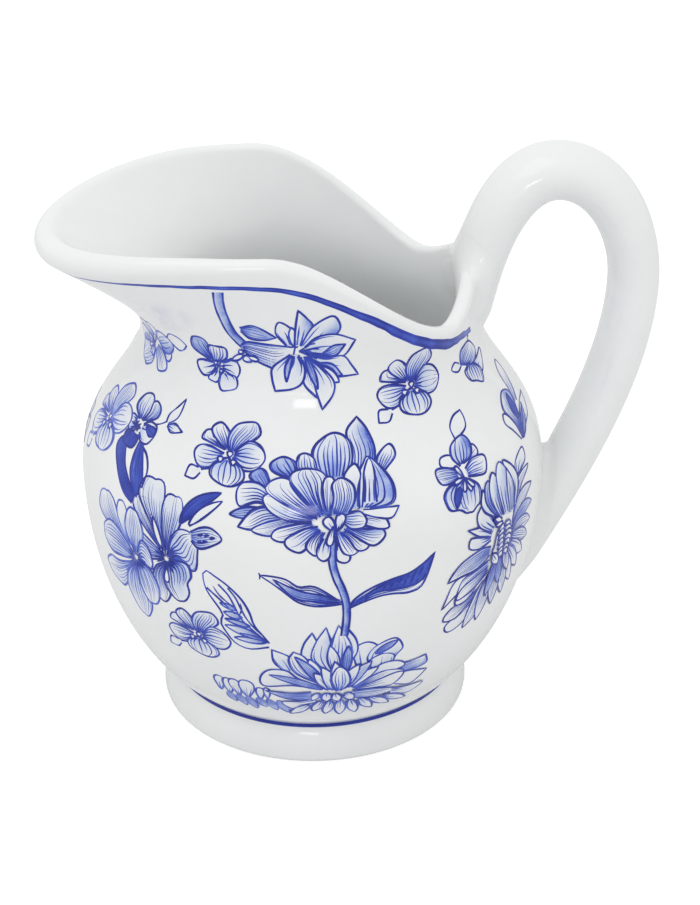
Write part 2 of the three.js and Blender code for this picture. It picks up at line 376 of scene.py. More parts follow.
    def look_up(self, turn: Array, along: Array) -> tuple[Array, Array]:
        """Bilinear reading of the table.

        Args:
            turn: angles in degrees.
            along: lengths above the foot line, in millimetres.

        Returns:
            (radius, height) in millimetres and unit normals in the row frame.
        """
        i = ((turn + 180) % 360) / self.table_turn
        j = np.clip(along / self.table_step, 0, self.table.shape[1] - 1.001)
        i0 = np.floor(i).astype(int)
        j0 = np.floor(j).astype(int)
        fi, fj = (i - i0)[..., None], (j - j0)[..., None]
        count = len(self.turns)
        i1 = (i0 + 1) % count
        i0 = i0 % count

        def mixed(table: Array) -> Array:
            """The four neighbours of each reading, mixed by how near they are."""
            low = table[i0, j0] * (1 - fi) + table[i1, j0] * fi
            high = table[i0, j0 + 1] * (1 - fi) + table[i1, j0 + 1] * fi
            return low * (1 - fj) + high * fj

        normal = mixed(self.normals)
        return mixed(self.table), normal / np.linalg.norm(normal, axis=-1, keepdims=True)

    def on_wall(self, turn: Array, along: Array, lift: Array | float = 0.0) -> tuple[Array, Array]:
        """Points in metres on the wall, `lift` millimetres proud of it, and their normals."""
        flat, normal = self.look_up(turn, along)
        return self.placed(turn, flat) + normal * (np.asarray(lift)[..., None] * MM), normal

    def gap(self, asked: Array, low: float, high: float) -> tuple[Array, Array]:
        """Signed distance to the wall's skin, positive outside it, and its gradient.

        Each point is compared with the profile at its own angle: the distance is taken to the tangent
        plane at the nearest place on that profile.

        Args:
            asked: points in millimetres from the axis of the jug.
            low: length above the foot line from which the profile counts.
            high: length at which it ends.

        Returns:
            Distances and unit gradients.
        """
        flat = asked.reshape(-1, 3)
        turn = np.degrees(np.arctan2(flat[:, 1], flat[:, 0]))
        radius = np.hypot(flat[:, 0], flat[:, 1])
        along = np.arange(low, high, 0.5)
        rows, _ = self.look_up(turn[:, None], along[None, :])
        far = (rows[..., 0] - radius[:, None]) ** 2 + (rows[..., 1] - flat[:, 2:3]) ** 2
        best = along[np.argmin(far, axis=1)]
        near, normal = self.look_up(turn, best)
        away = np.radians(turn)
        span = np.stack([(radius - near[:, 0]) * np.cos(away), (radius - near[:, 0]) * np.sin(away)], -1)
        span = np.concatenate([span, flat[:, 2:3] - near[:, 1:2]], -1)
        distance = (span * normal).sum(-1)
        return distance.reshape(asked.shape[:-1]), normal.reshape(asked.shape)

    def build(self) -> Sheet:
        """The closed body: underside, outside, edge, inside and floor, turned round the axis."""
        turn = np.arange(0, 360, 360 / 300)
        parts = self.pieces_of_profile(turn, (62, 38, 50, 19, 34, 20, 40))
        rows = [parts[0][0]] + [p[0][:, 1:] for p in parts[1:]]
        line = np.concatenate(rows, 1)
        shares = np.array([0.0, 0.5, 0.86, 0.97])[None, :, None]
        under = line[:, :1] * np.concatenate([shares, shares * 0 + 1], -1)
        line = np.concatenate([under, line], 1)
        points = self.placed(turn[:, None], line)
        return turned_sheet(points.transpose(1, 0, 2))


# ---------------------------------------------------------------- foot ring


@dataclass
class FootRing:
    """The ring under the bowl: a resting face, a rounded outer wall and a drafted hollow."""

    wall: Wall
    radius: float = 45.0
    width: float = 7.5
    edge: float = 1.2
    draft: float = 1.2
    seam: float = 0.3
    around: int = 300

    def build(self) -> Sheet:
        """The closed ring, turned round the axis.

        The outer side is a quadratic Bezier curve from the rounded lower edge to the foot line. It ends
        a little inside the bowl, so that no gap shows.
        """
        top = self.wall.foot_height - self.seam
        hollow = self.radius - self.width
        t = np.linspace(0, 1, 12)[:, None]
        fine = np.linspace(0, 1, 26)[:, None]

        def curve(a: Sequence[float], b: Sequence[float], c: Sequence[float], share: Array) -> Array:
            """A quadratic Bezier curve."""
            a, b, c = np.array(a), np.array(b), np.array(c)
            return (1 - share) ** 2 * a + 2 * share * (1 - share) * b + share**2 * c

        def line(a: Sequence[float], b: Sequence[float], share: Array) -> Array:
            """A straight run."""
            return np.array(a) * (1 - share) + np.array(b) * share

        inner_edge = 0.9
        rows = [
            curve(
                (self.radius - self.edge, 0),
                (self.radius, 0),
                (self.radius, 1.4 * self.edge),
                t,
            ),
            curve(
                (self.radius, 1.4 * self.edge), (self.radius, 0.72 * top), (self.wall.foot_radius, top), fine
            )[1:],
            line((self.wall.foot_radius - 0.1, top + 0.45), (hollow - self.draft, top + 0.45), t[::3]),
            line((hollow - self.draft, top), (hollow - 0.1, 1.0 + inner_edge), t[::2]),
            curve((hollow, 1 + inner_edge * 0.6), (hollow, 0), (hollow + 1, 0), t[::2])[1:],
            line((hollow + 1, 0), (self.radius - self.edge, 0), t)[1:-1],
        ]
        flat = np.concatenate(rows)
        turn = np.arange(self.around) * 360 / self.around
        points = self.wall.placed(turn[None, :], np.broadcast_to(flat[:, None], (len(flat), self.around, 2)))
        rows_count = len(flat)
        return Sheet(points.reshape(-1, 3), grid_faces(rows_count, self.around, True, True))


# ---------------------------------------------------------------- handle and slip


@dataclass
class Strap:
    """The pulled handle: an oval strap along a curve from the rim over the crown to the belly."""

    wall: Wall
    width: float = 20.0
    depth: float = 13.8
    crown_depth: float = 15.4
    root_flare: float = 1.25
    tail_flare: float = 1.1
    crown_rise: float = 21.03
    crown_reach: float = 23.5
    finger_room: float = 23.77
    grip_drop: float = 32.0
    tail_height: float = 41.0
    tail_sink: float = 1.2
    tail_angle: float = 28.0
    tail_tuck: float = 16.0
    tail_taper: float = 0.4
    lead_in: float = 16.0

    def __post_init__(self) -> None:
        """Lays out the centre line, with its length, and a straight lead below the upper root."""
        wall = self.wall
        root = np.array([wall.back_radius + 0.6, wall.root_height - 14])
        crown = np.array([wall.back_radius + self.crown_reach, wall.root_height + self.crown_rise])
        grip = np.array([wall.belly_radius + self.finger_room, crown[1] - self.grip_drop])
        side, _ = bezier(wall.lower, np.linspace(0, 1, 2001))
        tail_radius = float(np.interp(self.tail_height, side[:, 1], side[:, 0]))
        tail = np.array([tail_radius - self.tail_sink, self.tail_height])
        way = leaning(self.tail_angle)
        fall = grip[1] - tail[1]
        tuck = tail - self.tail_tuck * np.array([1.15, 1.25])
        pull = tail - 0.65 * self.tail_tuck * way
        t = np.linspace(0, 1, 400)
        runs = [
            (root, root + [4.5, 0.62 * (crown[1] - root[1])], crown - [0.47 * self.crown_reach, 0], crown),
            (crown, crown + [0.55 * (grip[0] - crown[0]), 0], grip + [0, 0.53 * self.grip_drop], grip),
            (grip, grip - [0, 0.34 * fall], tail + 0.31 * fall * way, tail),
            (tail, tail + (pull - tail) * 2 / 3, tuck + (pull - tuck) * 2 / 3, tuck),
        ]
        lines = [bezier(run, t)[0] for run in runs]
        path = np.concatenate([lines[0]] + [line[1:] for line in lines[1:]])
        length = np.concatenate([[0], np.cumsum(np.linalg.norm(np.diff(path, axis=0), axis=1))])
        self.total = float(length[-1])
        self.crown_share = float(length[399] / length[-1])
        start = (path[1] - path[0]) / np.linalg.norm(path[1] - path[0])
        back = np.linspace(self.lead_in, 0.1, 60)
        lead = path[0] - start * back[:, None] - np.array([0.016, 0.0]) * back[:, None] ** 2
        self.path = np.concatenate([lead, path])
        self.share = np.concatenate([-back, length]) / self.total

    def section(self, share: Array) -> tuple[Array, Array, Array, Array]:
        """The strap's section at some shares of the centre line.

        Args:
            share: 0 at the upper root and 1 at the end of the tail.

        Returns:
            Centres (x from the axis, z), directions towards the finger side, half depths, half widths.
        """
        step = 0.002

        def place(u: Array) -> Array:
            """The centre line at a share of its length, as (x, z)."""
            return np.stack([np.interp(u, self.share, self.path[:, k]) for k in (0, 1)], -1)

        way = place(share + step) - place(share - step)
        way = way / np.linalg.norm(way, axis=-1, keepdims=True)
        out = np.stack([way[..., 1], -way[..., 0]], -1)
        inside = np.maximum(share, 0)
        flare = 1 + (self.root_flare - 1) * swell(inside, 0.13)
        flare = flare + (self.tail_flare - 1) * swell(1 - share, 0.16)
        deep = self.depth + (self.crown_depth - self.depth) * swell(np.abs(share - self.crown_share), 0.2)
        deep = deep * (1 + (self.tail_taper - 1) * swell(1 - share, 0.16)) / 2
        return place(share), out, deep, self.width / 2 * flare

    def gap(self, asked: Array, shares: Array) -> tuple[Array, Array]:
        """Signed distance to the strap's skin, positive outside it, and its gradient.

        Each point is compared with the oval section nearest to it. With f the point's place on the scale
        of that oval, the distance is f · (f - 1) over the length of the gradient of f² / 2.

        Args:
            asked: points in millimetres from the axis of the jug.
            shares: the sections that count, as shares of the centre line.

        Returns:
            Distances and unit gradients.
        """
        flat = asked.reshape(-1, 3)
        centre, out, deep, wide = self.section(shares)
        far = (centre[None, :, 0] - flat[:, 0:1]) ** 2 + (centre[None, :, 1] - flat[:, 2:3]) ** 2
        best = np.argmin(far, axis=1)
        span = flat[:, [0, 2]] - centre[best]
        across = (span * out[best]).sum(-1)
        pull = np.stack([across / deep[best] ** 2, flat[:, 1] / wide[best] ** 2], -1)
        scale = np.sqrt((across / deep[best]) ** 2 + (flat[:, 1] / wide[best]) ** 2)
        length = np.maximum(np.linalg.norm(pull, axis=-1), 1e-6)
        distance = scale * (scale - 1) / length
        ends = (best == 0) | (best == len(shares) - 1)
        beyond = np.where(ends, np.abs(span[:, 0] * out[best, 1] - span[:, 1] * out[best, 0]), 0)
        distance = np.where(beyond > 0, np.hypot(np.maximum(distance, 0), beyond), distance)
        way = pull / length[:, None]
        gradient = np.stack([out[best, 0] * way[:, 0], way[:, 1], out[best, 1] * way[:, 0]], -1)
        return distance.reshape(asked.shape[:-1]), gradient.reshape(asked.shape)

    def surface(self, share: Array, turn: Array) -> tuple[Array, Array]:
        """Points and normals of the strap's skin in millimetres round the axis of the jug.

        Args:
            share: how far along the centre line, 0 at the upper root and 1 at the end of the tail.
            turn: radians round the section, 0 on the finger side.

        Returns:
            Points (x from the axis, y, z) and unit normals.
        """
        share, turn = np.broadcast_arrays(share, turn)
        centre, out, deep, wide = self.section(share)
        c, s = np.cos(turn), np.sin(turn)
        flat = centre + out * (c * deep)[..., None]
        point = np.stack([flat[..., 0], s * wide, flat[..., 1]], -1)
        normal = np.stack([out[..., 0] * c / deep, s / wide, out[..., 1] * c / deep], -1)
        return point, normal / np.linalg.norm(normal, axis=-1, keepdims=True)


def smooth_low(a: Array, b: Array, width: float) -> tuple[Array, Array]:
    """The smaller of two distances, eased where they differ by less than `width`.

    Returns:
        min(a, b) - h³ · width / 6 with h = max(width - |a - b|, 0) / width, and the weight of a.
    """
    h = np.maximum(width - np.abs(a - b), 0) / width
    value = np.minimum(a, b) - h**3 * width / 6
    share = h * h / 2
    return value, np.where(a < b, 1 - share, share)


@dataclass
class Root:
    """Where the strap is luted to the wall: a smooth fillet all round its foot.

    The skin is the level zero of an eased union of wall and strap. A net is stretched from a loop on the
    wall to a loop on the strap, and is pulled onto that level.
    """

    wall: Wall
    strap: Strap
    centre_along: float
    shares: tuple[float, float]
    blend: float
    around: int = 132
    across: int = 24
    mouth: bool = False
    section_count: int = 300
    wall_reach: float = 60.0

    def __post_init__(self) -> None:
        """Sets which sections of the strap and how much of the wall count."""
        self.sections = np.linspace(self.shares[0], self.shares[1], self.section_count)
        self.reach = (self.centre_along - self.wall_reach, self.centre_along + self.wall_reach)
        inner = self.wall.table[np.argmin(np.abs(self.wall.turns))]
        start = int(self.wall.edge_end[np.argmin(np.abs(self.wall.turns))] / self.wall.table_step)
        self.inner_wall = inner[start:][::-1]

    def wall_skin(self, asked: Array) -> tuple[Array, Array]:
        """Distance to the wall near this root, with its gradient."""
        return self.wall.gap(asked, *self.reach)

    def strap_skin(self, asked: Array) -> tuple[Array, Array]:
        """Distance to the uncut strap near this root, with its gradient."""
        return self.strap.gap(asked, self.sections)

    def strap_field(self, asked: Array) -> tuple[Array, Array]:
        """Distance to the strap, which at the mouth is first cut back to the inner wall.

        The cut is a cone that follows the inner wall and closes in above it, so that the strap's inner
        side swells out of the wall just under the rim.
        """
        distance, gradient = self.strap_skin(asked)
        if not self.mouth:
            return distance, gradient
        radius = np.maximum(np.hypot(asked[..., 0], asked[..., 1]), 1e-6)
        low, high = self.wall.root_height - 13.0, self.wall.root_height - 8.0
        slope = 0.9
        rise = asked[..., 2] - np.clip(asked[..., 2], low, high)
        edge = np.interp(asked[..., 2], self.inner_wall[:, 1], self.inner_wall[:, 0]) + 1.2 - slope * rise
        cut = (edge - radius) / np.hypot(1, slope)
        way = np.stack(
            [-asked[..., 0] / radius, -asked[..., 1] / radius, np.where(rise != 0, -slope, 0.0)], -1
        ) / np.hypot(1, slope)
        value, share = smooth_low(-distance, -cut, 4.0)
        mixed = gradient * share[..., None] + way * (1 - share[..., None])
        return -value, mixed

    def field(self, asked: Array) -> tuple[Array, Array]:
        """The eased union of wall and strap, with its gradient."""
        a, way_a = self.wall_skin(asked)
        b, way_b = self.strap_field(asked)
        value, share = smooth_low(a, b, self.blend)
        return value, way_a * share[..., None] + way_b * (1 - share[..., None])

    def loops(self, turn: Array) -> tuple[Array, Array, Array, Array, Array]:
        """The loop on the wall and the loop on the strap, where the easing has died out.

        Returns:
            Points and normals on the wall, shares, points and normals on the strap.
        """
        wall = self.wall
        far = np.linspace(2.0, 40.0, 90)[None, :]
        flat, _ = wall.look_up(np.zeros(1), np.array([self.centre_along]))
        step = np.degrees(far * np.sin(turn)[:, None] / flat[0, 0])
        upwards = -1.0 if self.mouth else 1.0
        along = self.centre_along + upwards * far * np.cos(turn)[:, None]
        points, _ = wall.on_wall(step, along)
        points = points / MM - [wall.axis_x, 0, 0]
        gap, _ = self.strap_field(points)
        clear = gap > self.blend
        last = clear.shape[1] - 1 - np.argmax(~clear[:, ::-1], axis=1)
        pick = np.minimum(last + 1, clear.shape[1] - 1)
        rows = np.arange(len(turn))
        before, after = gap[rows, last], gap[rows, pick]
        mix = np.clip((self.blend - before) / np.maximum(after - before, 1e-6), 0, 1)
        found = far[0, last] * (1 - mix) + far[0, pick] * mix
        found = np.convolve(np.pad(found, 5, mode="wrap"), np.ones(11) / 11, "valid")
        step = np.degrees(found * np.sin(turn) / flat[0, 0])
        on_wall, wall_way = wall.on_wall(step, self.centre_along + upwards * found * np.cos(turn))
        on_wall = on_wall / MM - [wall.axis_x, 0, 0]
        share = np.linspace(self.shares[0], self.shares[1], 180)
        if not self.mouth:
            share = share[::-1]
        skin, _ = self.strap.surface(share[None, :], turn[:, None])
        gap, _ = self.wall_skin(skin)
        own, _ = self.strap_skin(skin)
        trimmed, _ = self.strap_field(skin)
        clear = (gap > self.blend) & (trimmed - own < 0.02)
        last = clear.shape[1] - 1 - np.argmax(~clear[:, ::-1], axis=1)
        last = np.minimum(last + 1, clear.shape[1] - 1)
        found = share[last]
        ease = np.ones(9) / 9
        found = np.convolve(np.concatenate([found[-4:], found, found[:4]]), ease, "valid")
        on_strap, strap_way = self.strap.surface(found, turn)
        return on_wall, wall_way, found, on_strap, strap_way

    def build(self) -> tuple[Sheet, Array]:
        """The closed fillet and the shares at which the strap leaves it."""
        turn = np.linspace(0, 2 * np.pi, self.around, endpoint=False)
        low, low_way, shares, high, high_way = self.loops(turn)
        span = high - low
        size = np.linalg.norm(span, axis=-1, keepdims=True)

        def along_skin(way: Array) -> Array:
            """The span with its part along a normal taken away, at the span's own length."""
            flat = span - (span * way).sum(-1, keepdims=True) * way
            return flat / np.maximum(np.linalg.norm(flat, axis=-1, keepdims=True), 1e-6) * size

        a, b = along_skin(low_way), along_skin(high_way)
        net, _ = bezier((low, low + a * 0.4, high - b * 0.4, high), np.linspace(0, 1, self.across))
        for step in range(34):
            level = (np.roll(net, 1, 0) + np.roll(net, -1, 0) - 2 * net)[:, 1:-1] / 4
            level += (net[:, :-2] + net[:, 2:] - 2 * net[:, 1:-1]) / 4
            net[:, 1:-1] += level / 2
            if step > 17:
                continue
            value, way = self.field(net)
            way = way / np.maximum(np.linalg.norm(way, axis=-1, keepdims=True), 1e-6)
            move = np.clip(value, -1.5, 1.5)[..., None] * way
            move[:, 0] = 0
            move[:, -1] = 0
            net = net - 0.85 * move
        _, given = self.field(net)
        way = np.cross(np.roll(net, -1, 0) - np.roll(net, 1, 0), np.gradient(net, axis=1))
        way = way * np.sign((way * given).sum(-1).sum())
        way = way / np.maximum(np.linalg.norm(way, axis=-1, keepdims=True), 1e-9)
        for _ in range(3):
            around = (np.roll(way, 1, 0) + np.roll(way, -1, 0)) / 4
            way[:, 1:-1] = (way / 2 + around)[:, 1:-1] * 0.6 + (way[:, :-2] + way[:, 2:]) * 0.2
        way[:, 0], way[:, -1] = low_way, high_way
        way = way / np.linalg.norm(way, axis=-1, keepdims=True)
        back = net - 0.8 * way
        points = np.concatenate([net, back[:, ::-1]], 1).transpose(1, 0, 2)
        normals = np.concatenate([way, -way[:, ::-1]], 1).transpose(1, 0, 2)
        points = (points + [self.wall.axis_x, 0, 0]) * MM
        faces = grid_faces(2 * self.across, self.around, True, True)
        return Sheet(points.reshape(-1, 3), faces, normals.reshape(-1, 3)), shares


def strap_sheet(strap: Strap, upper: Array, lower: Array, rows: int = 220) -> Sheet:
    """The strap between its two roots, closed by a cone inside each.

    Args:
        strap: the strap.
        upper: shares at which it leaves the upper root, one for each line round the section.
        lower: the same at the lower root.
        rows: sections between the roots.

    Returns:
        A closed sheet with the strap's own normals.
    """
    turn = np.linspace(0, 2 * np.pi, len(upper), endpoint=False)
    mix = np.linspace(0, 1, rows)[:, None]
    share = upper * (1 - mix) + lower * mix
    points, normals = strap.surface(share, turn[None, :])
    first = np.broadcast_to(points[0].mean(0), points[:1].shape)
    last = np.broadcast_to(points[-1].mean(0), points[-1:].shape)
    points = np.concatenate([first, points, last])
    normals = np.concatenate([normals[:1], normals, normals[-1:]])
    points = (points + [strap.wall.axis_x, 0, 0]) * MM
    return Sheet(points.reshape(-1, 3), grid_faces(len(points), len(upper), True), normals.reshape(-1, 3))


def facing_out(sheet: Sheet) -> Sheet:
    """The same closed sheet with its faces turned outwards, judged by the sign of its volume."""
    p = sheet.points[sheet.faces]
    halves = np.cross(p[:, 1] - p[:, 0], p[:, 2] - p[:, 0]) + np.cross(p[:, 2] - p[:, 0], p[:, 3] - p[:, 0])
    volume = (p.mean(1) * halves).sum()
    if volume < 0:
        sheet.faces = sheet.faces[:, ::-1].copy()
    return sheet


# ---------------------------------------------------------------- finishes


class Slot(Enum):
    """The record's material slots."""

    GLAZE = "glazed_porcelain"
    SLIP = "luting_slip"


@dataclass(frozen=True)
class Nodes:
    """A small hand for building node trees."""

    tree: bpy.types.NodeTree

    def add(
        self, kind: str, values: dict[str | int, object] | None = None, **settings: object
    ) -> bpy.types.Node:
        """Adds a node.

        Args:
            kind: the node's type.
            values: input values by name or index.
            settings: properties of the node.

        Returns:
            The node.
        """
        node = self.tree.nodes.new(kind)
        for key, value in settings.items():
            setattr(node, key, value)
        for key, value in (values or {}).items():
            node.inputs[key].default_value = value
        return node

    def join(self, source: bpy.types.NodeSocket, target: bpy.types.NodeSocket) -> None:
        """Links two sockets."""
        self.tree.links.new(source, target)

    def math(self, operation: str, *inputs: object) -> bpy.types.NodeSocket:
        """A math node on sockets or numbers; returns its value socket."""
        node = self.add("ShaderNodeMath", operation=operation)
        for i, value in enumerate(inputs):
            if isinstance(value, (int, float)):
                node.inputs[i].default_value = value
            else:
                self.join(value, node.inputs[i])
        return node.outputs[0]

    def noise(self, where: bpy.types.NodeSocket, scale: float, detail: float = 2.0) -> bpy.types.NodeSocket:
        """A noise of a scale per metre; returns its value socket."""
        node = self.add("ShaderNodeTexNoise", {"Scale": scale, "Detail": detail})
        self.join(where, node.inputs["Vector"])
        return node.outputs["Fac"]

    def spread(
        self, value: bpy.types.NodeSocket, low: float, high: float, to_low: float = 0.0, to_high: float = 1.0
    ) -> bpy.types.NodeSocket:
        """Maps low..high to to_low..to_high, held at the ends."""
        node = self.add(
            "ShaderNodeMapRange", {"From Min": low, "From Max": high, "To Min": to_low, "To Max": to_high}
        )
        self.join(value, node.inputs["Value"])
        return node.outputs["Result"]

    def blend(self, share: object, a: object, b: object) -> bpy.types.NodeSocket:
        """Mixes two colours, given as sockets or as linear (r, g, b)."""
        node = self.add("ShaderNodeMix", data_type="RGBA")
        for name, value in (("Factor", share), ("A", a), ("B", b)):
            sockets = [s for s in node.inputs if s.name == name and (s.type == "RGBA") == (name != "Factor")]
            socket = next(s for s in sockets if s.enabled)
            if isinstance(value, (int, float)):
                socket.default_value = value
            elif isinstance(value, tuple):
                socket.default_value = (*value, 1.0)
            else:
                self.join(value, socket)
        return next(s for s in node.outputs if s.type == "RGBA")


@dataclass(frozen=True)
class Glaze:
    """The clear feldspar glaze over white porcelain: cloudy, wavy, and with a few pinholes."""

    white: tuple[float, float, float] = (0.85, 0.858, 0.862)
    cool: tuple[float, float, float] = (0.815, 0.835, 0.83)
    roughness: float = 0.07
    waviness: float = 0.35
    pinholes: float = 0.5

    def group(self) -> bpy.types.NodeTree:
        """The shared effect: colour, roughness and height from a place on the piece."""
        name = "glaze_effect"
        if name in bpy.data.node_groups:
            return bpy.data.node_groups[name]
        tree = bpy.data.node_groups.new(name, "ShaderNodeTree")
        sockets = tree.interface
        sockets.new_socket("Place", in_out="INPUT", socket_type="NodeSocketVector")
        for key, value in (("White", self.white), ("Cool", self.cool)):
            socket = sockets.new_socket(key, in_out="INPUT", socket_type="NodeSocketColor")
            socket.default_value = (*value, 1)
        for key, value in (("Base Roughness", self.roughness), ("Waviness", 1.0), ("Pinholes", 1.0)):
            socket = sockets.new_socket(key, in_out="INPUT", socket_type="NodeSocketFloat")
            socket.default_value = value
        sockets.new_socket("Color", in_out="OUTPUT", socket_type="NodeSocketColor")
        sockets.new_socket("Roughness", in_out="OUTPUT", socket_type="NodeSocketFloat")
        sockets.new_socket("Height", in_out="OUTPUT", socket_type="NodeSocketFloat")
        n = Nodes(tree)
        given = n.add("NodeGroupInput").outputs
        out = n.add("NodeGroupOutput")
        place = given["Place"]
        cloud = n.spread(n.noise(place, 38.0, 3.0), 0.35, 0.7)
        fine = n.spread(n.noise(place, 420.0, 2.0), 0.3, 0.75)
        share = n.math("ADD", n.math("MULTIPLY", cloud, 0.75), n.math("MULTIPLY", fine, 0.25))
        color = n.blend(share, given["White"], given["Cool"])
        spots = n.add("ShaderNodeTexVoronoi", {"Scale": 120.0, "Randomness": 1.0})
        n.join(place, spots.inputs["Vector"])
        rare = n.math("GREATER_THAN", n.noise(place, 55.0, 1.0), 0.63)
        hole = n.math("MULTIPLY", n.spread(spots.outputs["Distance"], 0.025, 0.05, 1.0, 0.0), rare)
        hole = n.math("MULTIPLY", hole, given["Pinholes"])
        color = n.blend(n.math("MULTIPLY", hole, 0.35), color, (0.5, 0.51, 0.5))
        n.join(color, out.inputs["Color"])
        rough = n.math("ADD", given["Base Roughness"], n.math("MULTIPLY", fine, 0.03))
        rough = n.math("ADD", rough, n.math("MULTIPLY", hole, 0.3))
        n.join(rough, out.inputs["Roughness"])
        slow = n.math("MULTIPLY", n.noise(place, 60.0, 1.0), 1.0)
        quick = n.math("MULTIPLY", n.noise(place, 900.0, 2.0), 0.02)
        height = n.math("MULTIPLY", n.math("ADD", slow, quick), given["Waviness"])
        height = n.math("SUBTRACT", height, n.math("MULTIPLY", hole, 0.25))
        n.join(height, out.inputs["Height"])
        return tree

    def dressed(self, name: str) -> tuple[bpy.types.Material, Nodes, bpy.types.Node, bpy.types.Node]:
        """A material with the glaze on it, and its hand, shader and effect nodes for more work."""
        material = bpy.data.materials.new(name)
        material.use_nodes = True
        n = Nodes(material.node_tree)
        n.tree.nodes.clear()
        out = n.add("ShaderNodeOutputMaterial")
        shader = n.add("ShaderNodeBsdfPrincipled", {"IOR": 1.5})
        n.join(shader.outputs[0], out.inputs[0])
        where = n.add("ShaderNodeTexCoord").outputs["Object"]
        effect = n.add("ShaderNodeGroup", node_tree=self.group())
        effect.inputs["White"].default_value = (*self.white, 1)
        effect.inputs["Cool"].default_value = (*self.cool, 1)
        effect.inputs["Base Roughness"].default_value = self.roughness
        effect.inputs["Waviness"].default_value = self.waviness
        effect.inputs["Pinholes"].default_value = self.pinholes
        n.join(where, effect.inputs["Place"])
        n.join(effect.outputs["Color"], shader.inputs["Base Color"])
        n.join(effect.outputs["Roughness"], shader.inputs["Roughness"])
        bump = n.add("ShaderNodeBump", {"Strength": 0.25, "Distance": 0.001})
        n.join(effect.outputs["Height"], bump.inputs["Height"])
        n.join(bump.outputs[0], shader.inputs["Normal"])
        return material, n, shader, effect


# ---------------------------------------------------------------- brush work


class Level(Enum):
    """How strongly the cobalt is laid on."""

    PALE = 0.66
    EVEN = 0.88
    STRONG = 1.0


class Look(Enum):
    """How a petal is filled: its streaks, their reach, and the ink of its wash at the base and the tip."""

    BARE = (0, 0.0, 0.04, 0.0)
    FEW = (3, 0.6, 0.16, 0.01)
    STREAKED = (6, 0.84, 0.22, 0.01)
    DENSE = (9, 0.9, 0.3, 0.03)
    WASHED = (5, 0.88, 0.5, 0.22)
    DARK = (6, 0.93, 0.85, 0.65)


def curve_through(flat: Sequence[float], count: int, after: Sequence[float] = ()) -> Array:
    """A smooth curve through a few points.

    It is a Catmull-Rom spline: between two points it is the cubic whose slopes are half the step from the
    point before to the point after. The result is spaced evenly.

    Args:
        flat: x, y, x, y, ... in millimetres.
        count: points wanted.
        after: a point that leads out, or nothing.

    Returns:
        An array of shape (count, 2).
    """
    p = np.array(flat, float).reshape(-1, 2)
    head = 2 * p[:1] - p[1:2]
    tail = np.array(after, float)[None] if len(after) else 2 * p[-1:] - p[-2:-1]
    q = np.concatenate([head, p, tail])
    t = np.linspace(0, 1, 12, endpoint=False)[:, None]
    a, b, c, d = q[:-3, None], q[1:-2, None], q[2:-1, None], q[3:, None]
    run = 0.5 * (2 * b + (c - a) * t + (2 * a - 5 * b + 4 * c - d) * t**2 + (3 * b - a - 3 * c + d) * t**3)
    run = np.concatenate([run.reshape(-1, 2), p[-1:]])
    length = np.concatenate([[0], np.cumsum(np.linalg.norm(np.diff(run, axis=0), axis=1))])
    ask = np.linspace(0, length[-1], count)
    return np.stack([np.interp(ask, length, run[:, k]) for k in (0, 1)], -1)


@dataclass(frozen=True)
class Petal:
    """A petal or leaf between two edges that run from its base to its tip.

    Attributes:
        left: one edge, of shape (rows, 2), in millimetres.
        right: the other.
        look: how it is filled.
        shade: ink of a broad shadow along the right edge.
        line: width of the outline in millimetres.
    """

    left: Array
    right: Array
    look: Look
    shade: float = 0.0
    line: float = 0.56


def rounded(left: Sequence[float], right: Sequence[float], look: Look, shade: float = 0.0) -> Petal:
    """A petal from a few points on each edge, whose outline runs smoothly over its tip.

    Args:
        left: x, y, ... from the base to the tip.
        right: the same along the other edge, to the same tip.
        look: how it is filled.
        shade: ink of its shadow.

    Returns:
        The petal.
    """
    rows = 22
    return Petal(
        curve_through(left, rows, right[-4:-2]), curve_through(right, rows, left[-4:-2]), look, shade
    )


def pointed(left: Sequence[float], right: Sequence[float], look: Look, shade: float = 0.0) -> Petal:
    """A petal like `rounded`, with a sharp tip."""
    rows = 22
    return Petal(curve_through(left, rows), curve_through(right, rows), look, shade)


def blade(
    bx: float, by: float, tx: float, ty: float, width: float, look: Look, bend: float = 0.0,
    round_tip: bool = False, shade: float = 0.0,
) -> Petal:
    """A plain petal from its base to its tip.

    Its half width at a share v of its length is v^a · (1 - v)^b, scaled to the width: b below 1 gives a
    round tip and b near 1 a pointed one. The middle line bows aside by bend · 4v(1 - v).

    Args:
        bx: base, across.
        by: base, up.
        tx: tip, across.
        ty: tip, up.
        width: widest part.
        look: how it is filled.
        bend: how far the middle bows to the left of the way from base to tip.
        round_tip: whether the tip is round.
        shade: ink of its shadow.

    Returns:
        The petal.
    """
    a, b = (1.0, 0.42) if round_tip else (0.75, 0.85)
    v = (1 - np.cos(np.linspace(0.02, 1, 22) * np.pi)) / 2
    peak = a / (a + b)
    half = width / 2 * v**a * (1 - v) ** b / (peak**a * (1 - peak) ** b)
    half = np.maximum(half, 0.04)[:, None]
    base, tip = np.array([bx, by]), np.array([tx, ty])
    way = (tip - base) / np.linalg.norm(tip - base)
    aside = np.array([-way[1], way[0]])
    middle = base + (tip - base) * v[:, None] + aside * (bend * 4 * v * (1 - v))[:, None]
    return Petal(middle + aside * half, middle - aside * half, look, shade)


def ruffled(petal: Petal, waves: float, depth: float) -> Petal:
    """The same petal with an edge that waves in and out towards its tip."""
    rows = len(petal.left)
    v = np.linspace(0, 1, rows)[:, None]
    middle = (petal.left + petal.right) / 2
    wave = 1 + depth * np.sin(waves * np.pi * v) * v
    left = middle[:1] + (petal.left - middle[:1]) * wave
    right = middle[:1] + (petal.right - middle[:1]) * wave
    return replace(petal, left=left, right=right)


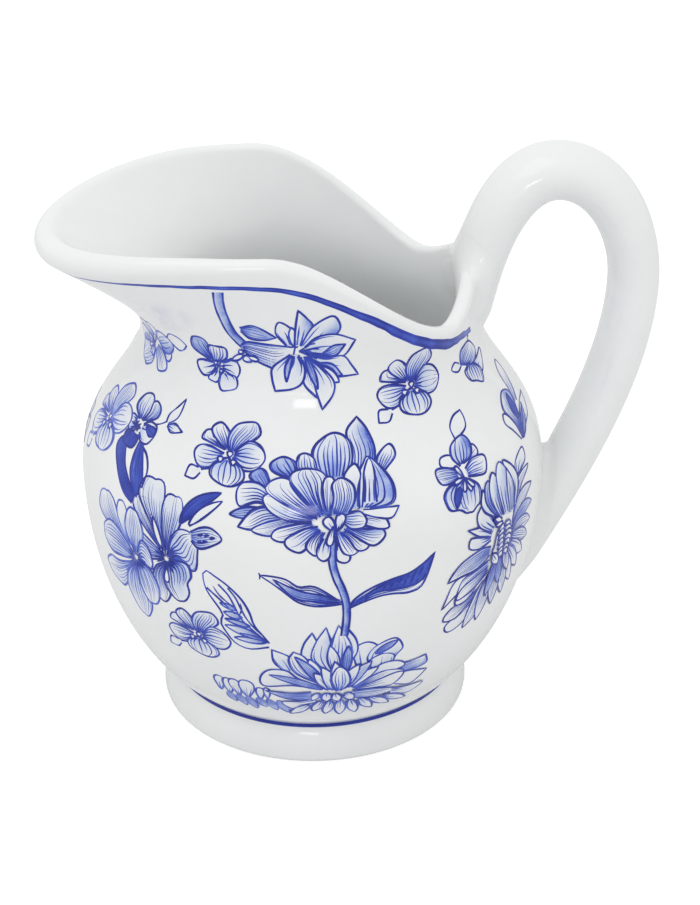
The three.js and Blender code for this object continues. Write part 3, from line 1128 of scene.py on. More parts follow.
@dataclass(frozen=True)
class Place:
    """Where a motif lies on the wall: its middle, how it is turned, its size and its strength."""

    turn: float
    along: float
    angle: float = 0.0
    size: float = 1.0
    mirror: bool = False
    level: Level = Level.STRONG


@dataclass
class Brush:
    """Lays petals and lines in flat millimetres, one over the other, and bends them onto the wall.

    Attributes:
        seed: starts the small unevenness of the hand.
        grids: for each grid size, the flat points, ink and height of every patch.
    """

    seed: int
    wash_step: float = 0.006
    ground: float = 0.02
    grids: dict[tuple[int, int], list[tuple[Array, Array, float]]] = field(default_factory=dict)
    height: float = 0.0

    def __post_init__(self) -> None:
        """Starts the hand."""
        self.rng = np.random.default_rng(self.seed)

    def patch(self, points: Array, ink: Array, over: float = 0.0) -> None:
        """Keeps a grid of points (rows, columns, 2) with its ink (rows, columns)."""
        self.grids.setdefault(points.shape[:2], []).append((points, ink, self.height + over))

    def stroke(self, line: Array, width: Array | float, ink: float, over: float = 0.5) -> None:
        """Draws a line of ink along points (rows, 2), three points across, paler at its edges.

        The width and the ink waver a little along the line, as a hand does.
        """
        rows = len(line)
        way = np.gradient(line, axis=0)
        way = way / np.maximum(np.linalg.norm(way, axis=1, keepdims=True), 1e-9)
        aside = np.stack([-way[:, 1], way[:, 0]], -1)
        knots = max(3, rows // 4)
        waver = np.interp(np.linspace(0, 1, rows), np.linspace(0, 1, knots), self.rng.normal(0, 1, knots))
        wide = np.maximum(np.broadcast_to(width, rows) * (1 + 0.16 * waver), 0.03) / 2
        across = np.array([-1.0, 0.0, 1.0])
        points = line[:, None] + aside[:, None] * (wide[:, None] * across)[..., None]
        tone = np.clip(ink * (1 + 0.1 * waver), 0, 1)
        self.patch(points, tone[:, None] * np.array([0.82, 1.0, 0.82]), over)

    def line(self, flat: Sequence[float], width: float = 0.5, ink: float = 0.92, taper: bool = False) -> None:
        """Draws a curve through a few points, tapering at both ends if asked."""
        count = 28
        path = curve_through(flat, count)
        v = np.linspace(0, 1, count)
        self.stroke(path, 1.2 * width * (np.sin(np.pi * v) ** 0.5 if taper else 1.0), ink)
        self.height += 1.5

    def stem(
        self, flat: Sequence[float], width: float, tone: float = 0.5, ink: float = 0.95, end: float = 1.0
    ) -> None:
        """Draws a stem: a wash with a darker line down each side.

        Args:
            flat: x, y, ... along its middle.
            width: its width at the start.
            tone: ink of the wash.
            ink: ink of the lines.
            end: width at the far end, as a share.
        """
        count = 40
        path = curve_through(flat, count)
        way = np.gradient(path, axis=0)
        way = way / np.linalg.norm(way, axis=1, keepdims=True)
        aside = np.stack([-way[:, 1], way[:, 0]], -1)
        half = (width / 2 * np.linspace(1, end, count))[:, None]
        share = np.linspace(-1, 1, 5)
        points = path[:, None] + aside[:, None] * half[:, None] * share[None, :, None]
        self.patch(points, np.broadcast_to(tone * (0.7 + 0.5 * share), (count, 5)).copy())
        self.stroke(path + aside * half, 0.55, ink)
        self.stroke(path - aside * half, 0.55, ink)
        self.height += 1.5

    def petal(self, petal: Petal, ink: float = 0.95) -> None:
        """Paints a petal: wash, streaks and outline, over everything painted before.

        The wash is the straight web between the two edges. Its ink falls from base to tip as (1 - v)^1.6,
        and a slow wave across it keeps it from looking printed.
        """
        rows, columns = 21, 10
        veins, reach, base, tip = petal.look.value
        v = np.linspace(0, 1, rows)
        a = np.linspace(0, 1, columns)
        full = np.linspace(0, 1, len(petal.left))
        left = np.stack([np.interp(v, full, petal.left[:, k]) for k in (0, 1)], -1)
        right = np.stack([np.interp(v, full, petal.right[:, k]) for k in (0, 1)], -1)
        web = left[:, None] * (1 - a)[None, :, None] + right[:, None] * a[None, :, None]
        phase = self.rng.uniform(0, 6.28, 2)
        wave = 1 + 0.35 * np.sin(9 * a + phase[0])[None] * np.cos(2 * v + phase[1])[:, None]
        tone = tip + (base - tip) * (1 - v[:, None]) ** 1.6 * wave
        tone = tone + petal.shade * (a[None] ** 2.5) * np.sin(np.pi * np.clip(v, 0, 1))[:, None]
        self.patch(web, np.clip(tone, 0, 0.9))
        if veins:
            self.veins(petal, veins, reach, ink)
        outline = np.concatenate([petal.left, petal.right[::-1][1:]])
        self.stroke(outline, petal.line, ink, 0.95)
        self.height += 1.5

    def veins(self, petal: Petal, count: int, reach: float, ink: float) -> None:
        """Draws the streaks of a petal: tapering strokes from the base at even shares of the breadth."""
        rows = 18
        shares = (np.arange(count) + 0.5) / count + self.rng.uniform(-0.22, 0.22, count) / count
        reaches = np.clip(reach * self.rng.uniform(0.66, 1.08, count), 0, 0.94)
        breadth = float(np.linalg.norm(petal.left - petal.right, axis=1).max())
        full = np.linspace(0, 1, len(petal.left))
        for share, far in zip(shares, reaches):
            v = np.linspace(0.03, far, rows)
            edge = [np.interp(v, full, side[:, k]) for side in (petal.left, petal.right) for k in (0, 1)]
            across = [edge[k] * (1 - share) + edge[k + 2] * share for k in (0, 1)]
            line = np.stack(across, -1)
            fall = (1 - np.linspace(0, 1, rows) ** 1.7) * np.linspace(0.7, 1.0, rows)
            width = min(0.62, 0.5 * breadth / count) * fall + 0.05
            self.stroke(line, width, ink * self.rng.uniform(0.72, 0.98), 0.5)

    def laid(self, wall: "Wall", place: Place) -> Sheet:
        """Bends everything painted so far onto the wall.

        A flat point is turned, scaled and mirrored; its height is length up the wall, and its distance
        aside is divided by the radius there to give an angle.

        Args:
            wall: the wall of the jug.
            place: where and how the motif lies.

        Returns:
            One sheet with the wall's normals and an "ink" value at each vertex.
        """
        sheets = []
        a = np.radians(place.angle)
        spin = np.array([[np.cos(a), np.sin(a)], [-np.sin(a), np.cos(a)]]) * place.size
        flip = np.array([-1.0 if place.mirror else 1.0, 1.0])
        for (rows, columns), items in self.grids.items():
            flat = np.stack([item[0] for item in items]) * flip @ spin
            ink = np.stack([item[1] for item in items]) * place.level.value
            lift = np.array([item[2] for item in items]) * self.wash_step + self.ground
            along = flat[..., 1] + place.along
            middle, _ = wall.look_up(np.full(along.shape, place.turn), along)
            turn = place.turn + np.degrees(flat[..., 0] / middle[..., 0])
            points, normals = wall.on_wall(turn, along, np.broadcast_to(lift[:, None, None], along.shape))
            count = len(items)
            starts = (np.arange(count) * rows * columns)[:, None, None]
            faces = grid_faces(rows, columns, False)[None] + starts
            sheets.append(
                Sheet(
                    points.reshape(-1, 3), faces.reshape(-1, 4), normals.reshape(-1, 3), {"ink": ink.ravel()}
                )
            )
        return towards_normals(joined(sheets))


def towards_normals(sheet: Sheet) -> Sheet:
    """The same sheet with each face turned to the side of its vertices' normals."""
    p = sheet.points[sheet.faces]
    way = np.cross(p[:, 2] - p[:, 0], p[:, 3] - p[:, 1])
    wrong = (way * sheet.normals[sheet.faces[:, 0]]).sum(1) < 0
    sheet.faces[wrong] = sheet.faces[wrong][:, ::-1]
    return sheet


# ---------------------------------------------------------------- flowers


class Motif:
    """Something painted on the wall, in its own flat millimetres: x to the right, y up."""

    def paint(self, brush: Brush) -> None:
        """Paints the motif round the origin."""
        raise NotImplementedError


class Peony(Motif):
    """A wide peony seen from the side: a fan of streaked petals over a skirt of small ones."""

    def paint(self, brush: Brush) -> None:
        """Paints from the back petals to the calyx."""
        back = [
            rounded((15.6, 4.2, 16, 7.6, 19.2, 10), (17.8, 3.6, 20.8, 6.8, 19.2, 10), Look.STREAKED),
            pointed((9, 2, 9.4, 9, 8, 14.4, 10.7, 18), (13.8, 2, 15.4, 8.5, 13.4, 14.4, 10.7, 18),
                Look.STREAKED, shade=.5),
            rounded((1, 3, -.8, 8, .2, 11.5, 4.5, 14.4), (8, 3, 9.5, 8, 8.4, 12.6, 4.5, 14.4), Look.DENSE),
            rounded((-6.5, 3, -10.6, 4.4, -11.2, 6.4, -8.2, 8.3), (-5, 3.2, -4.5, 5.4, -5.2, 7.4, -8.2,
                8.3), Look.WASHED),
            rounded((-3.8, 4, -4.6, 6.2, -4.1, 8.6, -2.4, 9.4), (.5, 4, .4, 6, -.4, 8.3, -2.4, 9.4),
                Look.STREAKED),
            rounded((-12.5, -1.5, -15, .8, -16.7, 2.8, -14.6, 4.8), (-11.3, -.2, -11.4, 2, -12.6, 4.6,
                -14.6, 4.8), Look.WASHED),
            rounded((-10, -2.2, -14, 1.2, -18.2, 1, -20.1, -1.6), (-11, -4.2, -15, -3.6, -19.4, -5, -20.1,
                -1.6), Look.STREAKED),
            blade(-13, -5.5, -22, -7.4, 2.8, Look.WASHED),
            pointed((-9, -5, -13, -4.4, -16.5, -6, -19.9, -10.3), (-8, -7.5, -12, -8.6, -16, -10.6, -19.9,
                -10.3), Look.STREAKED),
            rounded((-2, -7, -8, -7.2, -13, -8.6, -16.3, -10.8), (-2, -8.2, -7, -9.6, -11.6, -11.8, -16.3,
                -10.8), Look.DENSE),
            rounded((-1, -8, -5, -8.5, -9.8, -9.8, -11.2, -12.2), (0, -9, -4, -11.3, -8, -13.2, -11.2,
                -12.2), Look.STREAKED),
            rounded((.5, -9, -3.5, -9.8, -7.6, -12.4, -7.2, -14.6), (1, -9.8, -.8, -12.6, -3.8, -15.8, -7.2,
                -14.6), Look.STREAKED),
            rounded((1, -10, -1.5, -12, -2.6, -14.4, -.6, -16.6), (2.2, -10.5, 1.2, -13, .9, -15.8, -.6,
                -16.6), Look.STREAKED),
            rounded((1.8, -12, .3, -14.5, .3, -17, 1.8, -18.2), (3.6, -12, 3.6, -14.8, 3.3, -17.2, 1.8,
                -18.2), Look.FEW),
            rounded((5.2, -12, 5.1, -15, 5.2, -18, 7.2, -19), (7, -12.5, 8.2, -15, 8.5, -18, 7.2, -19),
                Look.FEW),
            rounded((5, -10.5, 5.6, -13.5, 7, -16.4, 9.4, -16.9), (6.5, -10.5, 9, -12.6, 11.2, -15, 9.4,
                -16.9), Look.STREAKED),
            rounded((6, -10.5, 8.2, -12.8, 10.4, -15.8, 12.8, -15.6), (7.5, -10, 10.5, -11.5, 13.4, -13.6,
                12.8, -15.6), Look.STREAKED),
            rounded((7, -9.8, 10.5, -12.6, 14.6, -15, 17.6, -12.8), (8, -8.8, 12.5, -10.4, 16.4, -10.6,
                17.6, -12.8), Look.STREAKED, shade=.4),
            rounded((8, -8.4, 12, -9.4, 16, -10.8, 18.7, -10.6), (9, -6.6, 13.5, -6.3, 17, -7.4, 18.7,
                -10.6), Look.STREAKED),
            pointed((12, -6.6, 16, -8, 19.5, -8.4, 21.4, -5.8), (12, -5.3, 15, -5.5, 18.5, -5.7, 21.4,
                -5.8), Look.BARE),
            rounded((7, -8.4, 9, -10.2, 11.8, -10, 12.8, -8), (7, -7, 8, -6, 11, -5.8, 12.8, -8),
                Look.STREAKED),
        ]
        front = [
            rounded((10.8, -5.2, 10.2, -1.5, 10.6, 2.5, 12, 5.8, 13.6, 7.6), (14, -5.4, 19.8, -4.8, 20.2,
                -1, 18, 3, 13.6, 7.6), Look.STREAKED, shade=.35),
            rounded((11.8, -4, 12.2, 0, 12.3, 4, 13.6, 7.2), (15.5, -4, 15.2, 0, 14.9, 4.2, 13.6, 7.2),
                Look.FEW),
            rounded((7.6, -5, 7.8, 0, 7.2, 3.4, 9.8, 6.2), (11, -5, 10.8, 0, 11.4, 3.6, 9.8, 6.2),
                Look.FEW),
            rounded((-1, -7.8, -7, -7.6, -11.7, -5.4, -13.2, -2.2), (.5, -6.6, -5, -3.6, -10, -1, -13.2,
                -2.2), Look.STREAKED),
            rounded((.4, -7, -6, -4.5, -12.2, -.8, -11.6, 1.6, -8.8, 3), (1.2, -6.4, -3, -2.6, -6, 1.2,
                -6.4, 2.6, -8.8, 3), Look.STREAKED),
            rounded((1.2, -6.6, -3, -1.8, -6.4, 2.4, -5.4, 4.6, -2.2, 5.5), (2.6, -6.2, 2.2, -1, 2.9, 2.6,
                1.4, 4.8, -2.2, 5.5), Look.DENSE),
            blade(3.1, -6.4, 3.5, 3.4, 3.2, Look.STREAKED, round_tip=True),
            rounded((3.6, -6.4, 4.4, -2, 4.2, 1.4, 6.6, 2.9), (8.2, -6, 9.9, -3, 9.5, .8, 6.6, 2.9),
                Look.DENSE),
            blade(4.8, -10.6, 2.4, -6.9, 2.5, Look.FEW, round_tip=True),
            blade(5.2, -10.6, 6.6, -6, 2.4, Look.FEW, round_tip=True),
            blade(4.4, -9, 3.2, -14, 1.8, Look.FEW, round_tip=True),
        ]
        for petal in back + front:
            brush.petal(petal)
        for i in range(11):
            a = np.radians(150 - 12 * i)
            x, y = (4 + 1.6 * np.cos(a), -7.2 + 1.2 * np.sin(a))
            brush.line((x, y, x + 1.7 * np.cos(a), y + 1.7 * np.sin(a)), .28, .7, True)


class PeonyStem(Motif):
    """The stem under the peony with its two long leaves."""

    def paint(self, brush: Brush) -> None:
        """Paints the leaves, their darker middles, and the stem over them."""
        brush.petal(pointed((3.4, -7.2, -1.5, -3.2, -4.5, -1.6, -8, -1.8, -11, .2, -14, .9, -18, 1.1), (3.4,
            -7.4, 0, -7.8, -4, -7.8, -8, -6.6, -11, -4.2, -14, -1.7, -18, 1.1), Look.STREAKED))
        brush.petal(pointed((2.6, -6.2, -2, -4.4, -8, -2.9, -14.5, .2), (2.4, -6.9, -3, -6.4, -9, -5.2,
            -14.5, .2), Look.WASHED))
        brush.line((-18.1, 1.7, -17.8, 1, -17.9, -.2), .35)
        brush.petal(pointed((5, -8.8, 6, -6.6, 9, -4.2, 13, -2.4, 17, -1.4, 21, -.8, 25, 1.2, 28.4, 3.6),
            (5.2, -8.8, 8, -7.6, 13, -6.2, 17, -6.2, 21, -6.8, 25, -5.2, 28.4, 3.6), Look.STREAKED))
        brush.petal(pointed((9, -5.4, 12, -3.6, 17, -1.6, 21, -1, 25, 1, 28.2, 3.4), (9, -6.4, 12, -4.8, 17,
            -4.9, 21, -4.9, 25, -3.4, 28.2, 3.4), Look.DARK))
        for i in range(7):
            x = 13.5 + 1.9 * i
            brush.line((x, -4.7 + .1 * i, x + 2, -1.9 + .45 * i), .5, .85, True)
        brush.stem((.9, 12.5, .6, 6, 1.6, 1, 3.1, -3, 4.1, -7, 4.3, -12, 3.8, -18), 1.7)


class Lotus(Motif):
    """A low lotus: long petals standing up from the foot of the bowl between broad ones that lie out."""

    def paint(self, brush: Brush) -> None:
        """Paints from the back petals to the front ones."""
        petals = [
            pointed((-15, 4, -18.2, 8, -18.9, 12.8), (-12.6, 5, -14, 10.2, -18.9, 12.8), Look.FEW),
            rounded((4, 4, 2.6, 12, 6, 14.8), (9, 4, 9.4, 12, 6, 14.8), Look.FEW),
            rounded((8, 5, 6.4, 8.6, 8.4, 12.6, 13.8, 14.6), (13.6, 5, 14.4, 7.8, 16.2, 10.6, 13.8, 14.6),
                Look.FEW),
            blade(8.4, 10, 14.6, 13.6, 2.4, Look.WASHED),
            rounded((7, 3.6, 7, 7.4, 10.4, 9.4), (13.4, 4.4, 13.8, 8.2, 10.4, 9.4), Look.FEW),
            pointed((-5, 4, -10.6, 10, -10.6, 15, -8.4, 19.4), (-3.4, 4, -5.4, 12, -8.4, 19.4), Look.FEW),
            pointed((0, 5, 3.4, 11, 3.2, 16, .8, 20.4), (-1.6, 5, -1.2, 13, .8, 20.4), Look.FEW, shade=.4),
            pointed((-5, 5, -8.4, 10, -7.4, 16, -4.8, 21.2), (-2.6, 5, -3, 14, -4.8, 21.2), Look.FEW,
                shade=.3),
            pointed((-3, 5, -4.2, 12, -1.6, 21.8), (1.6, 5, 2, 14, -1.6, 21.8), Look.STREAKED),
            blade(-1.6, 4, -3.6, 14.6, 3.2, Look.FEW),
            blade(.8, 4, 1.2, 14.2, 2.6, Look.WASHED),
            pointed((-7, 0, -12.4, 4, -14.4, 9, -13.2, 12.4), (-5.4, 1, -8.2, 7, -10.4, 10.8, -13.2, 12.4),
                Look.STREAKED),
            blade(-6, 0, -9, 9.8, 3.6, Look.FEW),
            blade(-5, -2, -12.8, 10.6, 2.8, Look.WASHED, bend=-.8),
            rounded((-5, -3.4, -13, -1.6, -20.6, -2.8, -21.8, 1), (-5, -2, -11.6, 1.6, -14.8, 4.8, -19.6,
                4.6, -21.8, 1), Look.FEW),
            blade(-5, -3.4, -19.4, 2.6, 2.6, Look.WASHED, bend=-.6),
            pointed((16, 1.6, 16.6, 3.6, 20, 4, 23.6, 4.6), (16, .4, 19, -.4, 24, .8, 23.6, 4.6),
                Look.STREAKED, shade=.5),
            pointed((15, -.8, 19, -.6, 24.6, -2.4), (15, -5.4, 20, -7.2, 24.6, -2.4), Look.BARE),
            rounded((5, -2.6, 8, 2.4, 10.4, 5.4, 15, 5.4, 17.2, 2.8), (5, -3.2, 11, .6, 17.2, 2.8),
                Look.FEW),
            rounded((4, -2.6, 9, 1.4, 13, 2.2, 17.2, .6), (4, -3.6, 9, -2, 14, -1, 17.2, .6),
                Look.STREAKED),
            rounded((3, -3.4, 8, -2.2, 14, .2, 17.3, -.4), (3, -4.2, 9, -5.2, 14.4, -5, 17.3, -.4),
                Look.FEW),
            blade(2.6, -3, 9.6, 4.6, 3.4, Look.FEW, bend=.6),
            blade(1.6, -3, 7.6, 7.2, 3.6, Look.STREAKED, shade=.3, bend=.9),
            blade(.6, -3.4, 4.4, 6.8, 3.4, Look.FEW, bend=.5),
            blade(-3.4, -3.6, -7.6, 4.2, 3.2, Look.FEW, bend=-.5),
            blade(-2.2, -3.8, -5.6, 6.6, 3.4, Look.FEW, bend=-.5),
            blade(-1.2, -4.2, -2.2, 8.6, 3.6, Look.FEW, bend=-.4),
            rounded((-1.2, -4.4, -3, 1, -2, 5.4, -.6, 6.4), (-.2, -4.4, 2.2, -.6, 1.4, 4, -.6, 6.4),
                Look.STREAKED),
            pointed((-8, -4.4, -13, -5.2, -20.4, -5), (-8, -8.6, -14, -8.4, -20.4, -5), Look.WASHED),
            pointed((3, -5, 9, -5.2, 16.8, -7.6), (3, -8.4, 10, -9.6, 16.8, -7.6), Look.STREAKED),
            rounded((14, -7, 19, -8.2, 24, -8.6), (14, -10.6, 20, -12.2, 24, -8.6), Look.FEW),
            rounded((-7, -8, -11, -9.4, -15.6, -10.4), (-6, -12, -12, -14, -15.6, -10.4), Look.FEW),
        ]
        for petal in petals:
            brush.petal(petal, .85)
        for x, y, tx, ty, width in (
            (-6, -5, -7.6, -8.6, 2.2), (-4, -5, -3.6, -9.4, 3), (-1.6, -5.4, -.6, -9.6, 2.8),
            (1.4, -5.4, 3.2, -9.6, 2.8), (-5, -9, -7, -15, 3), (-2.6, -9, -3.6, -17, 3),
            (0, -9, .4, -18, 3), (2.6, -9, 4.6, -17.6, 3), (5.2, -9, 9, -16, 3), (8, -9.6, 14, -15.2, 3),
            (12, -10, 19, -14.6, 3), (-8, -11, -13, -17, 3),
        ):
            brush.petal(blade(x, y, tx, ty, width, Look.FEW), .78)


class Lily(Motif):
    """A lily lying on its trumpet, with a hanging stem, a bud and a beaded twig."""

    def paint(self, brush: Brush) -> None:
        """Paints stem and trumpet first, then the star of petals."""
        brush.stem((-18.8, 21.6, -19, 18, -18.7, 14, -17.4, 8.4, -14.6, 4.6, -11.5, 2), 2.1, tone=.5)
        brush.petal(pointed((-15, 9.8, -11.4, 10.5, -6, 7.2), (-14.8, 8.6, -12.6, 6.5, -9, 6.3, -6, 7.2),
            Look.WASHED))
        brush.petal(pointed((-15.2, 4, -13.6, 5.4, -9, 5.2, -1.4, 4.6), (-14.6, 2.8, -12.4, .8, -8.6, -.9,
            -5.2, -1.5, -1.4, 2.6), Look.DENSE))
        petals = [
            rounded((-3.5, 5, -6.1, 8.5, -5.2, 11.9), (-1.6, 5.2, -1.8, 9.4, -5.2, 11.9), Look.FEW),
            blade(-1.2, 4.6, -2.2, 10.4, 2.4, Look.FEW),
            pointed((-1.5, 5, -1.2, 10, -.4, 15.6), (1.2, 5, 3.2, 10.6, 1.6, 13.4, -.4, 15.6), Look.FEW,
                shade=.4),
            rounded((0, 5, 3, 10.6, 7.8, 14), (1.4, 4.6, 6, 6, 9.4, 9.4, 9.6, 12, 7.8, 14), Look.FEW,
                shade=.4),
            pointed((1, 4.6, 4, 7.6, 8.5, 8.6, 13.4, 6.7), (1.2, 3.4, 6, 2.2, 10.6, 2.3, 13.4, 6.7),
                Look.FEW),
            pointed((5.2, 3, 8, 5.2, 11, 5.6), (5.2, 2.6, 8.6, 2.4, 11, 5.6), Look.WASHED),
            pointed((1.2, 3.2, 6, 1.8, 10.4, 2.2, 12.6, -.6, 14.3, -3.2), (1.4, 2, 3.6, -.6, 8, -3.2, 14.3,
                -3.2), Look.FEW),
            pointed((3.4, .4, 7.6, .2, 10.4, -3.2), (3.4, -.8, 6.4, -3.2, 10.4, -3.2), Look.WASHED),
            blade(3.6, -.4, 9.5, -4.8, 3.2, Look.FEW),
            pointed((0, 2, .4, -3.4, 1.2, -5.8, 4, -8.6), (1.4, 1, 3.6, -4, 4, -8.6), Look.STREAKED),
            pointed((.8, 2.2, 2.6, -2, 3.8, -7, 5.4, -11.6), (2, 1.6, 5.4, -1, 8.2, -4.6, 8, -8, 5.4,
                -11.6), Look.FEW),
            blade(1.2, 2.2, 4.2, -6.4, 1.6, Look.WASHED),
            pointed((-2.6, 2.6, -7, -1, -7.3, -4, -6.5, -7.2), (-.6, 2.6, 1, -1, .4, -4.6, -2, -6.4, -6.5,
                -7.2), Look.FEW),
            blade(-2, 2.4, -3.6, -4.6, 1.4, Look.WASHED, bend=-.5),
        ]
        for petal in petals:
            brush.petal(petal)
        for x, y in ((4.6, 4.4), (3.6, 6), (5.4, 2.8), (2.6, 3.6), (4, 1.6)):
            brush.line((-.4, 3.6, x * .6, y * .7 + 1.2, x, y), .32, .9)
        for x, y, tx, ty in ((-14.6, 1.6, -17.8, -.6), (-14.8, 1.8, -15.6, 2.8), (-10.6, .4, -13.4, 1.2)):
            brush.petal(blade(x, y, tx, ty, 1.3, Look.BARE), .95)
        brush.petal(blade(-12.4, -.2, -14.6, .9, 1.7, Look.FEW, round_tip=True), .95)


class Chrysanthemum(Motif):
    """A full chrysanthemum turned a little aside, with long streaked petals all round a pale heart."""

    def paint(self, brush: Brush) -> None:
        """Paints the outer petals all round, the inner ones, and the heart."""
        petals = [
            rounded((9, 8, 10.6, 12.6, 16.4, 14.4), (10.6, 9, 14, 10, 16.8, 11.4, 16.4, 14.4), Look.FEW),
            rounded((6.6, -2, 7, 4, 10.6, 8.6, 17.8, 9), (8, -2.4, 9, 2.6, 12, 6, 17.8, 9), Look.STREAKED),
            blade(6, -3.4, 18.6, 3.4, 4.6, Look.STREAKED, bend=2.2),
            blade(6, -4.4, 19, -2.4, 4.4, Look.WASHED, bend=1.6),
            blade(6, -5.6, 18.6, -7.8, 4.2, Look.STREAKED, bend=.9),
            blade(5.6, -7, 17.4, -12.4, 4.2, Look.STREAKED, bend=.4),
            blade(5, -8.6, 15, -16.4, 4, Look.FEW),
            blade(4.4, -9.6, 12, -19.6, 4, Look.FEW),
            rounded((-6, -19, -12, -23.4, -16.8, -26.6, -15.4, -29.4), (-5, -21, -8, -25, -11.6, -28.6,
                -15.4, -29.4), Look.FEW),
            rounded((-6, -17, -11, -19.6, -16.4, -21, -18.2, -24.4), (-6, -19, -10, -21.6, -14, -25, -18.2,
                -24.4), Look.STREAKED),
            blade(-5, -16, -9.6, -30.4, 5.6, Look.STREAKED, bend=.8),
            blade(-3.6, -15, -4.6, -30, 5, Look.STREAKED),
            blade(3.2, -11, 9, -23, 4, Look.FEW),
            blade(2, -12, 5.4, -25.6, 4.2, Look.STREAKED),
            blade(-.6, -12.6, .8, -27, 4.8, Look.STREAKED),
            pointed((-5, -11.4, -11, -11.2, -16.6, -12.2, -19.6, -20), (-6, -14, -11, -15, -14.6, -16,
                -19.6, -20), Look.BARE),
            rounded((-4, -10, -10, -11.2, -14.2, -13, -15.2, -19.8), (-4, -14, -8, -16.6, -11, -19.8, -15.2,
                -19.8), Look.STREAKED),
            rounded((-4, -12, -9, -13.2, -13.8, -15.2, -14.8, -18.6), (-4, -13.2, -9, -17, -14.8, -18.6),
                Look.STREAKED),
            pointed((-3.8, -6, -8, -5.2, -14, -6.6, -17.2, -9, -18.9, -11.6), (-4, -8.6, -9, -10.8, -14,
                -11, -18.9, -11.6), Look.DENSE),
            rounded((-4, -4, -8, -4.8, -12.2, -3.4, -11.8, -.6), (-4, -2.6, -8, -1.6, -11.8, -.6),
                Look.FEW),
            pointed((-4, -3, -9, -.8, -13, 2.3), (-3.4, -1.6, -7, 1.2, -13, 2.3), Look.FEW),
            pointed((-4, -1.6, -8.6, 1.6, -9.4, 5, -7.4, 7.4), (-2, 0, -4.6, 3.6, -7.4, 7.4), Look.FEW),
            pointed((-2, 2, -6.4, 5, -7.4, 8, -6, 11.4), (-1, 2, -3.4, 5.4, -6, 11.4), Look.FEW),
            rounded((-1.5, 1.6, -5.4, 7, -5.2, 11, -3.4, 12.8), (-.2, 1.6, -2.4, 6.6, -2.2, 11, -3.4, 12.8),
                Look.WASHED),
            rounded((-.5, 1.5, -3.2, 6, -3.4, 11, -1, 14.2), (1.2, 1.4, 0, 7, .4, 12, -1, 14.2), Look.FEW,
                shade=.3),
            rounded((4.8, 2, 6, 8, 4.6, 15.3), (7.4, 2, 9.8, 7.6, 8.6, 12.2, 4.6, 15.3), Look.FEW),
            rounded((1.5, 1.5, 0, 7, .2, 12.6, 3, 15.7), (4.8, .8, 4.4, 6, 5.4, 12, 3, 15.7), Look.FEW,
                shade=.4),
            pointed((4, 1, 3.8, 8, 5.2, 13.4), (6.4, 1, 7.2, 8, 5.2, 13.4), Look.STREAKED, shade=.3),
            blade(-1.6, -11.4, -3.6, -22, 3.4, Look.WASHED, bend=.3),
            blade(.6, -11, 1.4, -20, 3.2, Look.WASHED),
            blade(2.6, -9.6, 5.6, -17.6, 3, Look.STREAKED),
        ]
        for petal in petals:
            brush.petal(petal)
        brush.petal(pointed((.4, -.6, -1.6, -3, -2.4, -6.4, -3.2, -8.8, -.4, -11.4), (2, -1, 3.6, -3, 3, -7,
            1.8, -10.2, -.4, -11.4), Look.FEW))
        for y in (-1.8, -3.2, -4.6, -6, -7.4, -8.8, -10):
            reach = 5.6 - .35 * abs(y + 5)
            brush.petal(blade(-1.4, y - .6, 1.6, y + .2, 1.6, Look.FEW, round_tip=True))
            brush.petal(blade(1.2, y, reach, y - .8, 1.8, Look.FEW, bend=.5, round_tip=True))
        brush.petal(blade(-3.2, -8.6, -.4, -12.6, 2.8, Look.FEW))
        brush.petal(blade(.2, .6, -3, 1.8, 1.5, Look.BARE))
        brush.petal(blade(.6, -.2, -2.6, -.4, 1.2, Look.BARE))


class BuddedBlossom(Motif):
    """A five-petalled blossom with three stamens and a small bud beside it."""

    def paint(self, brush: Brush) -> None:
        """Paints the bud, the petals and the stamens."""
        brush.petal(pointed((-7.2, -5.4, -9.8, -5.4, -10.7, -8.4), (-6.4, -6.6, -8, -8.5, -10.7, -8.4),
            Look.BARE))
        brush.line((-6.4, -5.8, -4.6, -5.2, -3.2, -4.6), .42)
        petals = [
            rounded((-1, .4, -6.6, 1.6, -8.2, 2.2, -7.4, 4.2, -5.4, 4.6), (-.4, .4, -1.6, 3, -5.4, 4.6),
                Look.STREAKED),
            rounded((-.9, .4, -5, 3.4, -5.8, 5.4, -3.4, 7), (-.2, .6, -.4, 4.4, -3.4, 7), Look.STREAKED),
            rounded((-1, -.6, -5, .6, -8.2, .2, -9.4, -2), (-1.4, -1.8, -4, -4.8, -7.4, -5, -9.4, -2),
                Look.STREAKED),
            rounded((.3, 0, -.9, 3.8, .8, 7.2, 4.6, 8.4), (1.6, .4, 5, 3, 7.3, 5.4, 6.4, 7.8, 4.6, 8.4),
                Look.DENSE),
            rounded((1.6, .2, 4.6, 3.4, 8, 2.6, 9.9, -.6), (1.4, -1.2, 4.6, -3.9, 8, -3.6, 9.9, -.6),
                Look.STREAKED),
            rounded((-.6, -2, -3.6, -4, -3.4, -6.8, .5, -8.5), (1.4, -2, 4.6, -3.6, 5.6, -6.2, 3.6, -8.2,
                .5, -8.5), Look.STREAKED),
        ]
        for petal in petals:
            brush.petal(petal)
        for x, y in ((-1.7, -2.3), (2, -2.6), (.6, -.6)):
            brush.line((.3, -1.4, x * .7, y * .75 - .3, x, y), .5, .95)
            brush.petal(blade(x, y - .8, x, y + .8, 1.5, Look.BARE, round_tip=True), .95)


